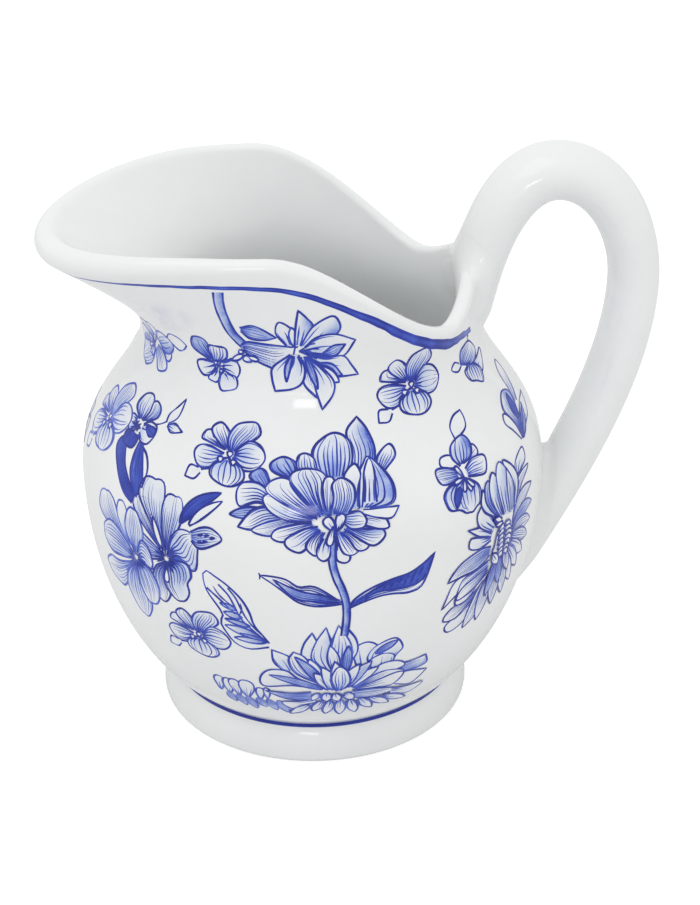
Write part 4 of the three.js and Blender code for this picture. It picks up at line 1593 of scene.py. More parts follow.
class SmallBlossom(Motif):
    """A small round blossom with two bigger petals."""

    def paint(self, brush: Brush) -> None:
        """Paints the petals and a dark heart."""
        petals = [
            rounded((-2.4, 1, -7.8, 3.4, -7.4, 6.8, -5.4, 7.6), (-1.8, 1.6, -2.4, 4.6, -3.6, 7, -5.4, 7.6),
                Look.WASHED),
            rounded((-1.6, 1, -2.8, 3.6, -2.6, 5.4, -.4, 5.6), (0, 1, 2.4, 2.8, 2.3, 5.4, -.4, 5.6),
                Look.STREAKED),
            rounded((1, 1.2, 4.2, 2.8, 5.8, 1, 5.9, -.8), (1, -.6, 3, -1.4, 5, -2.2, 5.9, -.8), Look.FEW),
            rounded((-.8, -1, -2.6, -2.6, -2.9, -3.8, -1.3, -4.3), (.2, -1.2, .6, -3, -.3, -4.2, -1.3,
                -4.3), Look.FEW),
            rounded((-1.4, .8, -4, .9, -6.7, 0, -6.2, -2), (-.8, -.4, -2, -2.4, -4.4, -3.3, -6.2, -2),
                Look.FEW),
            rounded((.8, -1.4, .2, -3.6, 1.2, -5.9, 3.1, -5.8), (2.4, -1.4, 5, -2, 5.5, -4.6, 3.1, -5.8),
                Look.FEW),
        ]
        for petal in petals:
            brush.petal(petal)
        for i in range(7):
            a = .9 * i
            brush.line((-.2, .2, -.2 + 2 * np.cos(a), .2 + 1.6 * np.sin(a)), .36, .9, True)
        for x, y in ((-.9, .7), (.8, -1.2)):
            brush.petal(blade(x, y - .6, x, y + .6, 1.1, Look.BARE, round_tip=True), .9)


class TallBlossom(Motif):
    """A blossom with a hood above, a ruffled lip below, and a bud leaf on top."""

    def paint(self, brush: Brush) -> None:
        """Paints from the hood down to the lip."""
        petals = [
            pointed((1.7, 6.2, 1.6, 9.6, 4, 12, 7.2, 12.7), (2.5, 6.2, 6.6, 8, 7.5, 10.4, 7.2, 12.7),
                Look.BARE),
            blade(3, .4, 7.3, 2.4, 3.4, Look.STREAKED, round_tip=True),
            rounded((-1.4, -.6, -5.6, .8, -5.2, 3, -2.8, 3.3), (-.8, 0, -1.2, 2.2, -2.8, 3.3), Look.BARE),
            rounded((0, -.6, -1.8, 2.2, -.8, 5, 2.6, 6.6), (1.4, -.2, 4.8, 1, 6, 4, 4.8, 6.4, 2.6, 6.6),
                Look.STREAKED, shade=.5),
            rounded((-1.6, -1.2, -4.6, .4, -7.6, .6, -8.1, -1.6), (-1.6, -3.2, -4, -3.8, -7, -3.6, -8.1,
                -1.6), Look.DENSE),
            rounded((1.2, -1.6, 4.4, .1, 8.4, -.2, 9.3, -1.8), (1.4, -3.8, 4.6, -4.6, 7.8, -4.8, 9.3, -1.8),
                Look.STREAKED),
            ruffled(rounded((-1, -4.4, -5.4, -4.6, -7.8, -7, -6.8, -10.2, -3.4, -11.6, -.4, -12.9), (1.6,
                -4.4, 4.2, -7, 4.2, -10.2, 2.4, -12.2, -.4, -12.9), Look.DENSE), 7, .03),
        ]
        for petal in petals:
            brush.petal(petal)
        brush.petal(blade(-2, -5.6, -4.4, -10.6, 2.2, Look.DARK, bend=-.4))
        for tx, ty in ((-1.8, -.2), (1.4, -7.6), (-.9, -7.2), (2.6, -6.8), (-3.4, -4.2)):
            brush.petal(blade(0, -3.6, tx, ty, 1.2, Look.FEW, round_tip=True))


class DarkBlossom(Motif):
    """A blossom with a very dark lower petal, on a twig with two small leaves."""

    def paint(self, brush: Brush) -> None:
        """Paints the twig and then the petals."""
        brush.line((4, -.5, 6.4, .6, 8.2, 2), .34)
        petals = [
            pointed((8, 1.6, 7.8, 4, 9.4, 6.6, 10.9, 9.2), (8.8, 1.6, 10.9, 4, 10.9, 9.2), Look.BARE),
            pointed((8.8, 1.2, 11, 2.2, 14.4, .8), (8.8, 1, 11, -.3, 14.4, .8), Look.FEW),
            rounded((-1.8, -1, -5.8, 1.6, -4.6, 5, -1.8, 6.4), (-.6, -1, 1, 2.4, .2, 5.4, -1.8, 6.4),
                Look.STREAKED),
            rounded((0, -1, .6, 2, .4, 4.6, 2, 5.4), (1.2, -.6, 4.4, 1.6, 4.2, 4, 2, 5.4), Look.STREAKED,
                shade=.4),
            rounded((-2.4, -1, -5.4, -.8, -6, -2.4, -5.2, -3.6), (-2.4, -4, -4, -4.8, -5.2, -3.6),
                Look.FEW),
            rounded((.8, -1.6, 2.8, -.1, 5.6, -.4, 6.5, -2.6), (.6, -4, 2.6, -5.8, 5.4, -5.6, 6.5, -2.6),
                Look.FEW),
            rounded((-2.6, -4.6, -4.6, -5.4, -4.3, -8, -1.8, -8.8), (.4, -4.8, 1.5, -6, .8, -8.3, -1.8,
                -8.8), Look.DARK),
        ]
        for petal in petals:
            brush.petal(petal)
        brush.petal(blade(2, -1.7, 6.2, -2.6, 2.6, Look.DARK, round_tip=True))
        for i in range(8):
            a = .785 * i
            brush.line((-1.6, -3, -1.6 + 2.2 * np.cos(a), -3 + 1.7 * np.sin(a)), .42, .95, True)
        for x, y in ((-2.6, -2.4), (-.6, -3.2), (-1.8, -4.2)):
            brush.petal(blade(x, y - .45, x, y + .45, .9, Look.BARE, round_tip=True), .9)


class Hibiscus(Motif):
    """A tall hibiscus: ruffled petals with many streaks out of a dark throat."""

    def paint(self, brush: Brush) -> None:
        """Paints the petals from the back to the front, and the throat."""
        petals = [
            rounded((1, -7, -4, -4.5, -8, -3, -10, -6), (1, -8.6, -3, -10, -6, -11, -10, -6), Look.DENSE),
            rounded((0, -6, -5, -2, -10.5, 3, -10.2, 5.4, -7.6, 6.6), (1, -6, -2, 0, -4, 3.8, -4.8, 5.8,
                -7.6, 6.6), Look.DENSE),
            rounded((1, -6, -4, 1, -9, 7, -8, 11, -4, 12.1), (1.8, -6, .4, 2, .3, 8, -.8, 11.6, -4, 12.1),
                Look.DENSE),
            rounded((1.6, -6, .2, 2, .4, 8.6, 3.6, 9.7), (2.4, -6, 5.6, 1, 6.7, 5.6, 5.6, 8.9, 3.6, 9.7),
                Look.DENSE),
            rounded((2.4, -7, 3.6, -1.5, 6.6, 1.9, 10.4, .4), (2.6, -8, 6.4, -7.4, 10.4, -9.4, 11.8, -4,
                10.4, .4), Look.DENSE),
            rounded((1.6, -9, -2.4, -12, -3.8, -17, -1.4, -22.6), (2, -10, .6, -15, 1.9, -19.6, -1.4,
                -22.6), Look.DENSE),
            rounded((2.6, -8.4, 8.4, -7.6, 9.5, -11, 8.1, -13.8, 8.3, -17, 5.2, -20.4), (2, -9, .4, -14,
                1.4, -18.4, 5.2, -20.4), Look.DENSE),
        ]
        for petal in petals:
            brush.petal(ruffled(petal, 5, .025))
        brush.petal(blade(.4, -5.4, -2.8, 2.4, 1.8, Look.BARE))
        brush.petal(blade(1.6, -11, 1.2, -15.6, 1.6, Look.BARE, round_tip=True))
        for i in range(16):
            a = np.radians(22.5 * i + 6)
            x, y = (1.8 + .6 * np.cos(a), -8.2 + .6 * np.sin(a))
            brush.line((x, y, x + 3.4 * np.cos(a), y + 3.6 * np.sin(a)), .42, .95, True)


class OpenHibiscus(Motif):
    """A hibiscus seen from the front, broader than it is tall."""

    def paint(self, brush: Brush) -> None:
        """Paints the petals all round and the throat."""
        petals = [
            rounded((6, 8, -2, 9.4, -9.6, 13, -8.6, 17.6, -5.4, 19.5), (6.6, 8.6, 3, 11.6, .6, 16, -1.6,
                18.8, -5.4, 19.5), Look.DENSE),
            rounded((7, 6.4, 1, 11, -4.6, 11.6, -7.6, 6.6), (7, 4.4, 1, 2.6, -5, 2, -7.6, 6.6), Look.DENSE),
            rounded((7, 3.6, 0, .6, -6, -.4, -8.4, -4.6), (7.4, 2.6, 3, -4, -2, -8.4, -8.4, -4.6),
                Look.DENSE),
            rounded((7.6, 3.4, 2.6, -2, 2.2, -9, 6.4, -14.2), (8.6, 3.4, 10.8, -3, 11.2, -9.4, 9.4, -12.6,
                6.4, -14.2), Look.DENSE),
            rounded((6, 8, 2.4, 12.5, .4, 16.5, 2, 19.8), (6.8, 8.4, 5.4, 12, 5.2, 17.5, 2, 19.8),
                Look.FEW),
            rounded((7.6, 7, 4.6, 12, 4.8, 17.5, 7.6, 19.4), (8.6, 7, 11.6, 12, 10.9, 16.8, 7.6, 19.4),
                Look.DENSE),
            rounded((9, 8, 11, 11.6, 14.2, 9, 14.3, 4.6), (9, 5.6, 11, 5, 13, 4.2, 14.3, 4.6),
                Look.STREAKED),
            rounded((9, 5, 13.4, 3.6, 15.6, -.6, 15.2, -5.2, 11.6, -8), (8.4, 4, 8, -1, 9, -5.6, 11.6, -8),
                Look.DENSE),
        ]
        for petal in petals:
            brush.petal(ruffled(petal, 5, .03), .74)
        for i in range(16):
            a = np.radians(22.5 * i)
            x, y = (8.2 + .6 * np.cos(a), 5.4 + .6 * np.sin(a))
            brush.line((x, y, x + 3.2 * np.cos(a), y + 3 * np.sin(a)), .4, .85, True)


class HibiscusGreens(Motif):
    """Stems, dark leaves and a seed pod round the tall hibiscus."""

    def paint(self, brush: Brush) -> None:
        """Paints the stems over the flower's shoulder and the leaves at both sides."""
        brush.petal(rounded((-10.2, 5.2, -12.5, 7.6, -16.5, 11.5, -20, 18), (-11.2, 3.2, -15.5, 5, -19.5,
            9.5, -23, 15, -20, 18), Look.DARK))
        brush.petal(pointed((-13.8, 19.5, -14.4, 15, -13.6, 10, -9.6, 5.4), (-12.4, 19.5, -9.8, 14, -8.6,
            10, -9.6, 5.4), Look.DARK))
        brush.line((-12.4, 18.4, -9.4, 16.6, -7.6, 13, -8.2, 8.4), .6)
        brush.petal(blade(6, 3.2, 15.9, 13.4, 3.4, Look.DARK, bend=1.3))
        brush.petal(blade(8.8, 3.4, 16.8, 11.4, 2.4, Look.BARE, bend=.5))
        brush.petal(rounded((9.4, 1.8, 12.5, 3.7, 15.5, 3.9, 18.4, 1.6), (9.8, -.6, 12.2, -2.2, 15.6, -.8,
            18.4, 1.6), Look.DENSE))
        for x, y in ((12.4, 1.6), (14.2, 1.9), (15.8, 1.5), (12.2, -.4), (13.8, .1)):
            brush.line((x - .8, y - .4, x, y, x + .9, y + .2), .7, .95, True)


class BroadLeaf(Motif):
    """A single leaf with a wavy edge, a double midrib and streaked bands."""

    def paint(self, brush: Brush) -> None:
        """Paints the blade, the bands and the midrib."""
        brush.petal(rounded((7.8, -11.4, 2.5, -12.9, -1.2, -11.6, -3.4, -8.4, -4.8, -5, -4, -2.2, -5.4, .6,
            -8.2, 5, -8.9, 9.4, -7.8, 10.8), (8, -10, 6.6, -7.6, 4.4, -4, 3.4, 0, 1.4, 4, -2.2, 7.6, -6,
            9.9, -7.8, 10.8), Look.BARE))
        bands = (
            (7.2, -9.8, -1.4, -9.4, 2), (5.8, -8, -3.6, -5.6, 2.6), (3.4, -4.8, -3.4, -3.4, 1.6),
            (1.4, -2.2, -3.6, -1.2, 2), (.0, .2, -4.4, 1.6, 1.4), (6.8, -9, .4, -7.6, 1),
        )
        for bx, by, tx, ty, width in bands:
            brush.petal(blade(bx, by, tx, ty, width, Look.STREAKED), .78)
        brush.line((7.6, -9.8, 4, -6, 1, -2.4, -.6, 1.6, -2, 4.6, -4.6, 7.4), .5)
        brush.line((6.4, -7.4, 3, -3, 1.4, .4, .0, 4, -2, 6.8), .4)
        brush.line((-8, 5.6, -5, 3.2, -2.4, .8, -.4, -1.2), .45)
        brush.line((-.6, 1.2, -2.6, 2.4, -4.6, 4.2, -6.2, 6.6), .36, taper=True)
        brush.line((.6, -1.6, 1.4, .6, 1.2, 2.6), .4, taper=True)


class LeafSpray(Motif):
    """Three overlapping leaves in a fan."""

    def paint(self, brush: Brush) -> None:
        """Paints the leaves from right to left."""
        leaves = [
            rounded((-1, -1.2, .6, 3, 1.6, 8, 4.8, 10.2), (1, -1.6, 5, 2, 6.6, 6.6, 4.8, 10.2), Look.FEW),
            pointed((-8, -8.6, -4, -5, 2, -2.6, 9.6, -2.6), (-7.4, -9.4, -2, -7.6, 4, -6.6, 9.6, -2.6),
                Look.FEW),
            rounded((-8.6, -8.6, -8.6, -4, -9.8, .6, -5.2, 4), (-6.4, -8.8, -3.4, -4.4, -.4, .6, -1, 3,
                -5.2, 4), Look.DENSE, shade=.5),
            blade(-5.2, -4.6, -2.6, 2.6, 3.6, Look.DARK),
            rounded((-9.4, -9.2, -11.4, -5.4, -13, -2.4, -11.2, -.2), (-8.6, -9.2, -8.6, -6, -9.4, -2,
                -11.2, -.2), Look.BARE),
            blade(-8.6, -9.2, 2.6, -3.2, 1.8, Look.WASHED, bend=-.6),
        ]
        for leaf in leaves:
            brush.petal(leaf)


class HangingBlossom(Motif):
    """A half-hidden blossom under the rim with a bud on a looped stalk."""

    def paint(self, brush: Brush) -> None:
        """Paints the calyx, the bell and the stalk."""
        petals = [
            rounded((-2, -2.4, 3, -2.6, 8, -1.6), (-1, -5.4, 4, -6.4, 8, -1.6), Look.FEW),
            rounded((-2.6, -2.6, -5.2, -3.6, -4.4, -6.2, -1.8, -7.4), (.6, -3, 3, -5.6, 1.4, -8.8, -1.8,
                -7.4), Look.STREAKED),
            rounded((-6, -1.6, -4.4, 1.8, -1.2, 2.8, 2.2, 2.6), (-3.6, -2.2, 1, -3, 4.6, -.6, 2.2, 2.6),
                Look.DENSE),
            rounded((-6.4, -.6, -8.2, .2, -10.2, -1.2), (-5.8, -1.6, -8, -2.4, -10.2, -1.2), Look.BARE),
        ]
        for petal in petals:
            brush.petal(petal)
        brush.line((1.6, 2.6, 1.2, 3.8, 2.2, 4.2), .36)


class LowSprig(Motif):
    """Short upright buds on a low stalk, near the foot."""

    def paint(self, brush: Brush) -> None:
        """Paints the buds and the ground wash under them."""
        buds = (
            (-11, -4, -10.6, 3.6, 3.2), (-8.4, -5, -8, 3.4, 3.2), (-5.4, -5, -6.4, 3.6, 3.4),
            (-3.2, -5, -2.4, 4.2, 4.4), (.4, -5, 1.2, 1.6, 2.4), (2.6, -4, 3, 2, 1.8),
        )
        for bx, by, tx, ty, width in buds:
            brush.petal(blade(bx, by, tx, ty, width, Look.FEW, round_tip=True), .78)
        for i in range(6):
            x = -9 + 2.9 * i
            brush.petal(blade(x, -4, x + 1.6, -9 - i % 3, 2.6, Look.WASHED), .6)


# ---------------------------------------------------------------- the painting


@dataclass(frozen=True)
class Cobalt:
    """Cobalt under the glaze, from a thin wash to a full line."""

    glaze: Glaze
    pooling: float = 0.5

    def material(self, name: str) -> bpy.types.Material:
        """The glaze's material with its colour held back by the ink on each vertex.

        The ink is made uneven by a slow noise (where the wash pooled) and a fine one (the brush's grain), and
        then looked up on a ramp that gets bluer before it gets darker.
        """
        material, n, shader, effect = self.glaze.dressed(name)
        where = n.add("ShaderNodeTexCoord").outputs["Object"]
        ink = n.add("ShaderNodeAttribute", attribute_name="ink").outputs["Fac"]
        pool = n.spread(n.noise(where, 190.0, 3.0), 0.3, 0.7, 1 - self.pooling, 1 + 0.7 * self.pooling)
        grain = n.spread(n.noise(where, 1700.0, 2.0), 0.3, 0.7, 0.88, 1.1)
        level = n.math("MULTIPLY", n.math("MULTIPLY", ink, pool), grain)
        firm = n.spread(ink, 0.45, 0.8)
        level = n.math("MULTIPLY", level, n.math("SUBTRACT", 1.0, firm))
        level = n.math("ADD", level, n.math("MULTIPLY", ink, firm))
        ramp = n.add("ShaderNodeValToRGB")
        stops = (
            (0.0, (1.0, 1.0, 1.0)), (0.12, (0.64, 0.72, 0.94)), (0.27, (0.32, 0.42, 0.86)),
            (0.5, (0.055, 0.12, 0.67)),
            (0.8, (0.009, 0.032, 0.41)), (1.0, (0.005, 0.015, 0.23)),
        )
        elements = ramp.color_ramp.elements
        for i, (place, color) in enumerate(stops):
            stop = elements[i] if i < 2 else elements.new(place)
            stop.position = place
            stop.color = (*color, 1.0)
        n.join(level, ramp.inputs["Fac"])
        tint = n.add("ShaderNodeMix", data_type="RGBA", blend_type="MULTIPLY")
        tint.inputs["Factor"].default_value = 1.0
        colors = [s for s in tint.inputs if s.type == "RGBA"]
        n.join(effect.outputs["Color"], colors[0])
        n.join(ramp.outputs["Color"], colors[1])
        n.join(next(s for s in tint.outputs if s.type == "RGBA"), shader.inputs["Base Color"])
        return material


@dataclass
class Ribbons:
    """The blue band under the rim and the thin line round the foot.

    Attributes:
        wall: the wall of the jug.
        below: how far the band's middle lies under the rim's edge, at angles from the handle.
        width: how wide it is there.
        under_strap: its middle up the wall close to the handle.
    """

    wall: Wall
    below: tuple[tuple[float, float], ...] = (
        (38.5, 2.6), (48, 1.8), (55.5, 2.1), (66, 2.4), (75, 2.5), (82, 3.4), (92.5, 4.3),
        (102.5, 4.8), (113.5, 4.0), (126.5, 3.6), (138, 2.9), (149, 2.2), (162, 1.7), (180, 1.5),
    )
    width: tuple[tuple[float, float], ...] = (
        (0, 1.0), (23, 1.3), (38.5, 2.5), (48, 3.2), (66, 3.1), (82, 2.1), (102, 1.4), (125, 1.1),
        (149, 0.7), (180, 0.6),
    )
    under_strap: tuple[tuple[float, float], ...] = ((0, 116.5), (23, 118.8), (38.5, 120.2))

    def along(self, turn: Array) -> Array:
        """The band's middle up the wall; near the handle it dips under the strap, off the rim."""
        edge = np.interp(turn, self.wall.turns, self.wall.edge_start)
        away = np.abs(turn)
        follow = edge - np.interp(away, *np.array(self.below).T)
        dip = np.interp(away, *np.array(self.under_strap).T)
        return np.where(away < self.under_strap[-1][0], dip, follow)

    def ribbon(self, along: Array, width: Array, turn: Array, tone: Array, rng: np.random.Generator) -> Sheet:
        """A strip round the wall, darker along its edges, whose edges and strength waver.

        Args:
            along: its middle up the wall at each angle.
            width: its width there.
            turn: the angles.
            tone: ink across the strip.
            rng: the unevenness.

        Returns:
            The sheet.
        """
        share = np.linspace(-1, 1, len(tone))
        knots = np.linspace(-180, 180, 140)
        wobble = np.interp(turn, knots, rng.normal(0, 1, 140))
        other = np.interp(turn, knots, rng.normal(0, 1, 140))
        half = width / 2 * (1 + 0.06 * other)
        height = (along + 0.08 * wobble)[:, None] + half[:, None] * share
        lift = np.full(height.shape, 0.02)
        turns = np.broadcast_to(turn[:, None], height.shape)
        points, normals = self.wall.on_wall(turns, height, lift)
        ink = np.clip(tone * (1 + 0.1 * wobble[:, None]), 0, 1)
        faces = grid_faces(*height.shape, False)
        return Sheet(points.reshape(-1, 3), faces, normals.reshape(-1, 3), {"ink": ink.ravel()})

    def build(self) -> tuple[Sheet, Sheet]:
        """The band and the foot line."""
        rng = np.random.default_rng(11)
        turn = np.linspace(-180, 180, 1441)
        fine = np.interp(np.abs(turn), *np.array(self.width).T)
        window = np.hanning(49) / np.hanning(49).sum()
        smooth = np.convolve(np.pad(self.along(turn), 24, mode="wrap"), window, "valid")
        band = self.ribbon(smooth, fine, turn, np.array([0.6, 0.88, 0.76, 0.66, 0.66, 0.74, 0.92, 0.6]), rng)
        return towards_normals(band), self.pooled(turn[:-1:2], rng)

    def pooled(self, turn: Array, rng: np.random.Generator) -> Sheet:
        """The foot line: cobalt pooled in the seam, a low fillet from the bowl down to the ring."""
        radius, foot = self.wall.foot_radius, self.wall.foot_height
        flat = np.array([[0.45, 0.38], [0.36, 0.1], [0.33, -0.2], [0.4, -0.5], [0.52, -0.8]]) + [radius, foot]
        grid = np.broadcast_to(flat[:, None], (len(flat), len(turn), 2))
        points = self.wall.placed(turn[None, :], grid)
        a = np.broadcast_to(np.radians(turn), grid.shape[:2])
        normals = np.stack([np.cos(a), np.sin(a), 0 * a], -1)
        waver = np.convolve(rng.normal(0, 1, len(turn)), np.ones(15) / 15, "same")
        ink = np.array([0.75, 1.0, 1.0, 0.95, 0.7])[:, None] * (0.95 + 0.12 * waver)
        faces = grid_faces(len(flat), len(turn), True)
        sheet = Sheet(points.reshape(-1, 3), faces, normals.reshape(-1, 3), {"ink": ink.ravel()})
        return towards_normals(sheet)


@dataclass
class Painting:
    """Everything painted on the wall.

    Attributes:
        wall: the wall of the jug.
        seen: motifs on the side with the main flower, from the lip to the handle.
        far: motifs on the other side, after the same habits.
    """

    wall: Wall
    seen: tuple[tuple[str, Motif, Place], ...] = (
        ("faded_hibiscus", OpenHibiscus(), Place(-147.2, 56.5, level=Level.EVEN)),
        ("faded_blossom", BuddedBlossom(), Place(-163.8, 93, 20, 1.15, level=Level.PALE)),
        ("lip_blossom", TallBlossom(), Place(-153, 119.8, -50, 0.9, level=Level.PALE)),
        ("low_blossom", BuddedBlossom(), Place(-123.5, 44, level=Level.EVEN)),
        ("low_sprig", LowSprig(), Place(-110, 24, level=Level.EVEN)),
        ("dark_blossom", DarkBlossom(), Place(-147.5, 99)),
        ("hibiscus", Hibiscus(), Place(-131.2, 74)),
        ("hibiscus_greens", HibiscusGreens(), Place(-131.2, 74)),
        ("broad_leaf", BroadLeaf(), Place(-111.8, 55, level=Level.EVEN)),
        ("neck_blossom", BuddedBlossom(), Place(-116.5, 98)),
        ("small_blossom", SmallBlossom(), Place(-124.5, 119, level=Level.EVEN)),
        ("lily", Lily(), Place(-97, 122, level=Level.EVEN)),
        ("peony_stem", PeonyStem(), Place(-90, 66)),
        ("lotus", Lotus(), Place(-86.5, 30, level=Level.EVEN)),
        ("peony", Peony(), Place(-93, 90)),
        ("rim_blossom", BuddedBlossom(), Place(-61.8, 114)),
        ("tall_blossom", TallBlossom(), Place(-54, 90)),
        ("chrysanthemum", Chrysanthemum(), Place(-44, 70)),
        ("leaf_spray", LeafSpray(), Place(-18.2, 95)),
        ("hanging_blossom", HangingBlossom(), Place(-30.5, 114)),
    )
    far: tuple[tuple[str, Motif, Place], ...] = (
        ("far_chrysanthemum", Chrysanthemum(), Place(136, 84, -35)),
        ("far_lip_blossom", BuddedBlossom(), Place(157, 108, level=Level.EVEN)),
        ("far_low_lotus", Lotus(), Place(150, 36, 10, 0.85, True, Level.PALE)),
        ("lip_small_blossom", SmallBlossom(), Place(178, 82, level=Level.EVEN)),
        ("lip_tall_blossom", TallBlossom(), Place(176, 56, level=Level.EVEN)),
        ("far_lily", Lily(), Place(104, 121, 0, 0.95, True, Level.EVEN)),
        ("far_hibiscus", Hibiscus(), Place(104, 90, 8, 1.0, True)),
        ("far_hibiscus_greens", HibiscusGreens(), Place(104, 90, 8, 1.0, True)),
        ("far_leaf", BroadLeaf(), Place(116, 58, -20, 1.0, True, Level.EVEN)),
        ("far_peony_stem", PeonyStem(), Place(66, 58, 0, 1.0, True)),
        ("far_peony", Peony(), Place(70, 82, 0, 1.0, True)),
        ("far_sprig", LowSprig(), Place(112, 22, level=Level.EVEN)),
        ("far_low_hibiscus", OpenHibiscus(), Place(84, 34, 30, 0.9, level=Level.EVEN)),
        ("far_neck_blossom", BuddedBlossom(), Place(76, 114, 60)),
        ("far_dark_blossom", DarkBlossom(), Place(52, 108, 0, 1.0, True)),
        ("far_tall_blossom", TallBlossom(), Place(32, 84, 20)),
        ("far_small_blossom", SmallBlossom(), Place(28, 108, 90)),
        ("far_handle_lotus", Lotus(), Place(30, 48, -12, 0.8, False, Level.EVEN)),
        ("handle_blossom", BuddedBlossom(), Place(6, 24, 40, level=Level.EVEN)),
    )

    def sheets(self) -> dict[str, Sheet]:
        """Every motif bent onto the wall, by name."""
        made = {}
        for seed, (name, motif, place) in enumerate(self.seen + self.far):
            brush = Brush(seed + 100)
            motif.paint(brush)
            made[f"painting_{name}"] = brush.laid(self.wall, place)
        made["rim_band"], made["foot_line"] = Ribbons(self.wall).build()
        return made


# ---------------------------------------------------------------- the stage


@dataclass(frozen=True)
class Lamp:
    """A soft rectangular lamp.

    Attributes:
        name: its name.
        place: where it hangs, in metres.
        size: its width and height in metres.
        watts: its power.
        target: what it points at.
    """

    name: str
    place: tuple[float, float, float]
    size: tuple[float, float]
    watts: float
    target: tuple[float, float, float] = (0.0, 0.0, 0.08)

    def hang(self) -> None:
        """Adds the lamp to the scene, turned to its target."""
        data = bpy.data.lights.new(self.name, "AREA")
        data.shape = "RECTANGLE"
        data.size, data.size_y = self.size
        data.energy = self.watts
        lamp = bpy.data.objects.new(self.name, data)
        lamp.location = self.place
        lamp.rotation_mode = "QUATERNION"
        way = Vector(self.target) - Vector(self.place)
        lamp.rotation_quaternion = way.to_track_quat("-Z", "Y")
        bpy.context.scene.collection.objects.link(lamp)


LAMPS = (
    Lamp("overhead", (-0.35, -0.25, 1.2), (0.9, 0.9), 1.7),
    Lamp("window", (-0.16, -1.0, 0.45), (0.24, 0.13), 0.45),
    Lamp("window_bar", (-0.24, -1.0, 0.3), (0.4, 0.012), 0.06),
)


@dataclass
class Stage:
    """Camera, floor and surroundings, with the lamps hung."""

    axis_x: float
    lens: float = 71.6
    distance: float = 510.6
    elevation: float = 27.1
    azimuth: float = -3.5
    look_height: float = 74.4
    look_aside: float = 0.0206
    floor_shade: float = 0.8
    floor_glow: float = 0.45
    light_bounces: int = 14
    diffuse_bounces: int = 10

    def camera(self) -> None:
        """Stands the camera on its circle round the jug, a little to the side of the axis."""
        e, a = np.radians(self.elevation), np.radians(self.azimuth)
        back = np.array([np.cos(e) * np.sin(a), -np.cos(e) * np.cos(a), np.sin(e)])
        place = np.array([self.axis_x, 0, self.look_height]) + self.distance * back
        right = np.array([np.cos(a), np.sin(a), 0])
        way = -back + self.look_aside * right
        data = bpy.data.cameras.new("camera")
        data.lens = self.lens
        data.sensor_width = 36.0
        data.clip_start = 0.01
        data.clip_end = 50.0
        eye = bpy.data.objects.new("camera", data)
        eye.location = Vector(place * MM)
        eye.rotation_mode = "QUATERNION"
        eye.rotation_quaternion = Vector(way).to_track_quat("-Z", "Y")
        bpy.context.scene.collection.objects.link(eye)
        bpy.context.scene.camera = eye

    def surroundings(self, strength: float = 0.93) -> None:
        """A plain white room whose light on the object is softer than its look to the camera."""
        world = bpy.data.worlds.new("room")
        world.use_nodes = True
        bpy.context.scene.world = world
        n = Nodes(world.node_tree)
        n.tree.nodes.clear()
        out = n.add("ShaderNodeOutputWorld")
        path = n.add("ShaderNodeLightPath").outputs
        shown = n.math("MAXIMUM", path["Is Camera Ray"], path["Is Transmission Ray"])
        level = n.math("ADD", n.math("MULTIPLY", shown, 1.0 - strength), strength)
        sky = n.add("ShaderNodeBackground", {"Color": (1, 1, 1, 1)})
        n.join(level, sky.inputs["Strength"])
        n.join(sky.outputs[0], out.inputs[0])

    def floor(self) -> None:
        """A pale floor whose glow to the camera is so bright that the jug's shadow hardly shows."""
        side = 6.0
        corners = np.array([[-side, -side, 0], [side, -side, 0], [side, side, 0], [-side, side, 0]])
        corners = corners - [0, 0, 0.00002]
        material = bpy.data.materials.new("pale_floor")
        material.use_nodes = True
        n = Nodes(material.node_tree)
        n.tree.nodes.clear()
        out = n.add("ShaderNodeOutputMaterial")
        matt = n.add("ShaderNodeBsdfDiffuse", {"Color": (*[self.floor_shade] * 3, 1)})
        glow = n.add("ShaderNodeEmission", {"Color": (1, 1, 1, 1)})
        path = n.add("ShaderNodeLightPath").outputs
        shown = n.math("MAXIMUM", path["Is Camera Ray"], path["Is Transmission Ray"])
        n.join(n.math("MULTIPLY", shown, self.floor_glow), glow.inputs["Strength"])
        both = n.add("ShaderNodeAddShader")
        n.join(matt.outputs[0], both.inputs[0])
        n.join(glow.outputs[0], both.inputs[1])
        n.join(both.outputs[0], out.inputs[0])
        piece = Sheet(corners, np.array([[0, 1, 2, 3]])).to_object("floor", material)

    def build(self) -> None:
        """Sets up everything round the object."""
        self.camera()
        self.surroundings()
        self.floor()
        for lamp in LAMPS:
            lamp.hang()
        bpy.context.scene.view_settings.view_transform = "Standard"
        bpy.context.scene.cycles.max_bounces = self.light_bounces
        bpy.context.scene.cycles.diffuse_bounces = self.diffuse_bounces


# ---------------------------------------------------------------- the jug


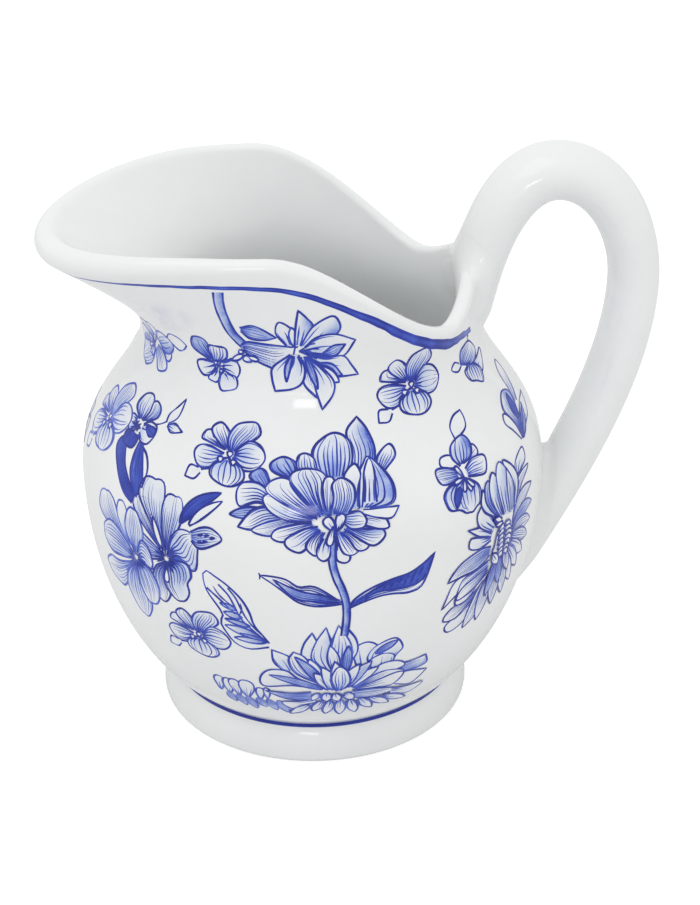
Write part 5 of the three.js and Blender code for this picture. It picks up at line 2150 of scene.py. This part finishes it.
@dataclass
class Jug:
    """All the pieces of the jug.

    Attributes:
        wall: its wall.
        strap: its handle.
        upper_shares: the stretch of the strap that counts for the upper root.
        lower_shares: the same for the lower root.
        upper_blend: the reach of the upper fillet's easing, in millimetres.
        lower_blend: the same for the lower fillet.
        past_edge: how far along the wall the upper root's middle lies past the rim's edge.
    """

    wall: Wall
    strap: Strap
    upper_shares: tuple[float, float] = (-0.075, 0.24)
    lower_shares: tuple[float, float] = (0.6, 1.0)
    upper_blend: float = 6.0
    lower_blend: float = 4.6
    past_edge: float = 1.0

    def piece(
        self, sheet: Sheet, name: str, material: bpy.types.Material, slot: Slot, *nodes: str
    ) -> bpy.types.Object:
        """Makes a piece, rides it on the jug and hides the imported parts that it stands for."""
        made = sheet.to_object(name, material)
        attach(made, "root")
        if nodes:
            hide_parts(*nodes)
        LOG.info("%s: %d faces", name, len(sheet.faces))
        return made

    def build(self) -> None:
        """Builds the pieces in order."""
        glaze, *_ = Glaze().dressed("clear_glaze")
        slip, *_ = Glaze(white=(0.83, 0.838, 0.842), cool=(0.8, 0.815, 0.81)).dressed("glazed_slip")
        body = self.piece(facing_out(self.wall.build()), "body", glaze, Slot.GLAZE, "body_shell")
        finish_closed(body)
        foot = FootRing(self.wall)
        self.piece(facing_out(foot.build()), "foot", glaze, Slot.GLAZE, "foot_ring")
        crest = float(self.wall.edge_start[np.argmin(np.abs(self.wall.turns))])
        high_along = crest + self.past_edge
        upper = Root(self.wall, self.strap, high_along, self.upper_shares, self.upper_blend, mouth=True)
        heights = self.wall.table[HANDLE_SIDE, :, 1]
        arcs = np.arange(self.wall.table.shape[1]) * self.wall.table_step
        low_along = float(np.interp(self.strap.tail_height, heights, arcs))
        lower = Root(self.wall, self.strap, low_along, self.lower_shares, self.lower_blend)
        upper_sheet, upper_shares = upper.build()
        lower_sheet, lower_shares = lower.build()
        self.piece(facing_out(upper_sheet), "upper_root", slip, Slot.SLIP, "upper_slip_joint")
        self.piece(facing_out(lower_sheet), "lower_root", slip, Slot.SLIP, "lower_slip_joint")
        handle = strap_sheet(self.strap, upper_shares, lower_shares)
        self.piece(facing_out(handle), "strap_handle", glaze, Slot.GLAZE, "handle")
        cobalt = Cobalt(Glaze()).material("cobalt_under_glaze")
        for name, sheet in Painting(self.wall).sheets().items():
            self.piece(sheet, name, cobalt, Slot.GLAZE)


def main() -> None:
    """Builds the stage and the jug."""
    logging.basicConfig(level=logging.INFO, format="%(name)s %(message)s")
    low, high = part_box("foot_ring")
    axis_x = (low[0] + high[0]) / 2 / MM
    Stage(axis_x).build()
    wall = Wall(axis_x)
    Jug(wall, Strap(wall)).build()
    bpy.context.view_layer.update()


if __name__ == "__main__":
    main()
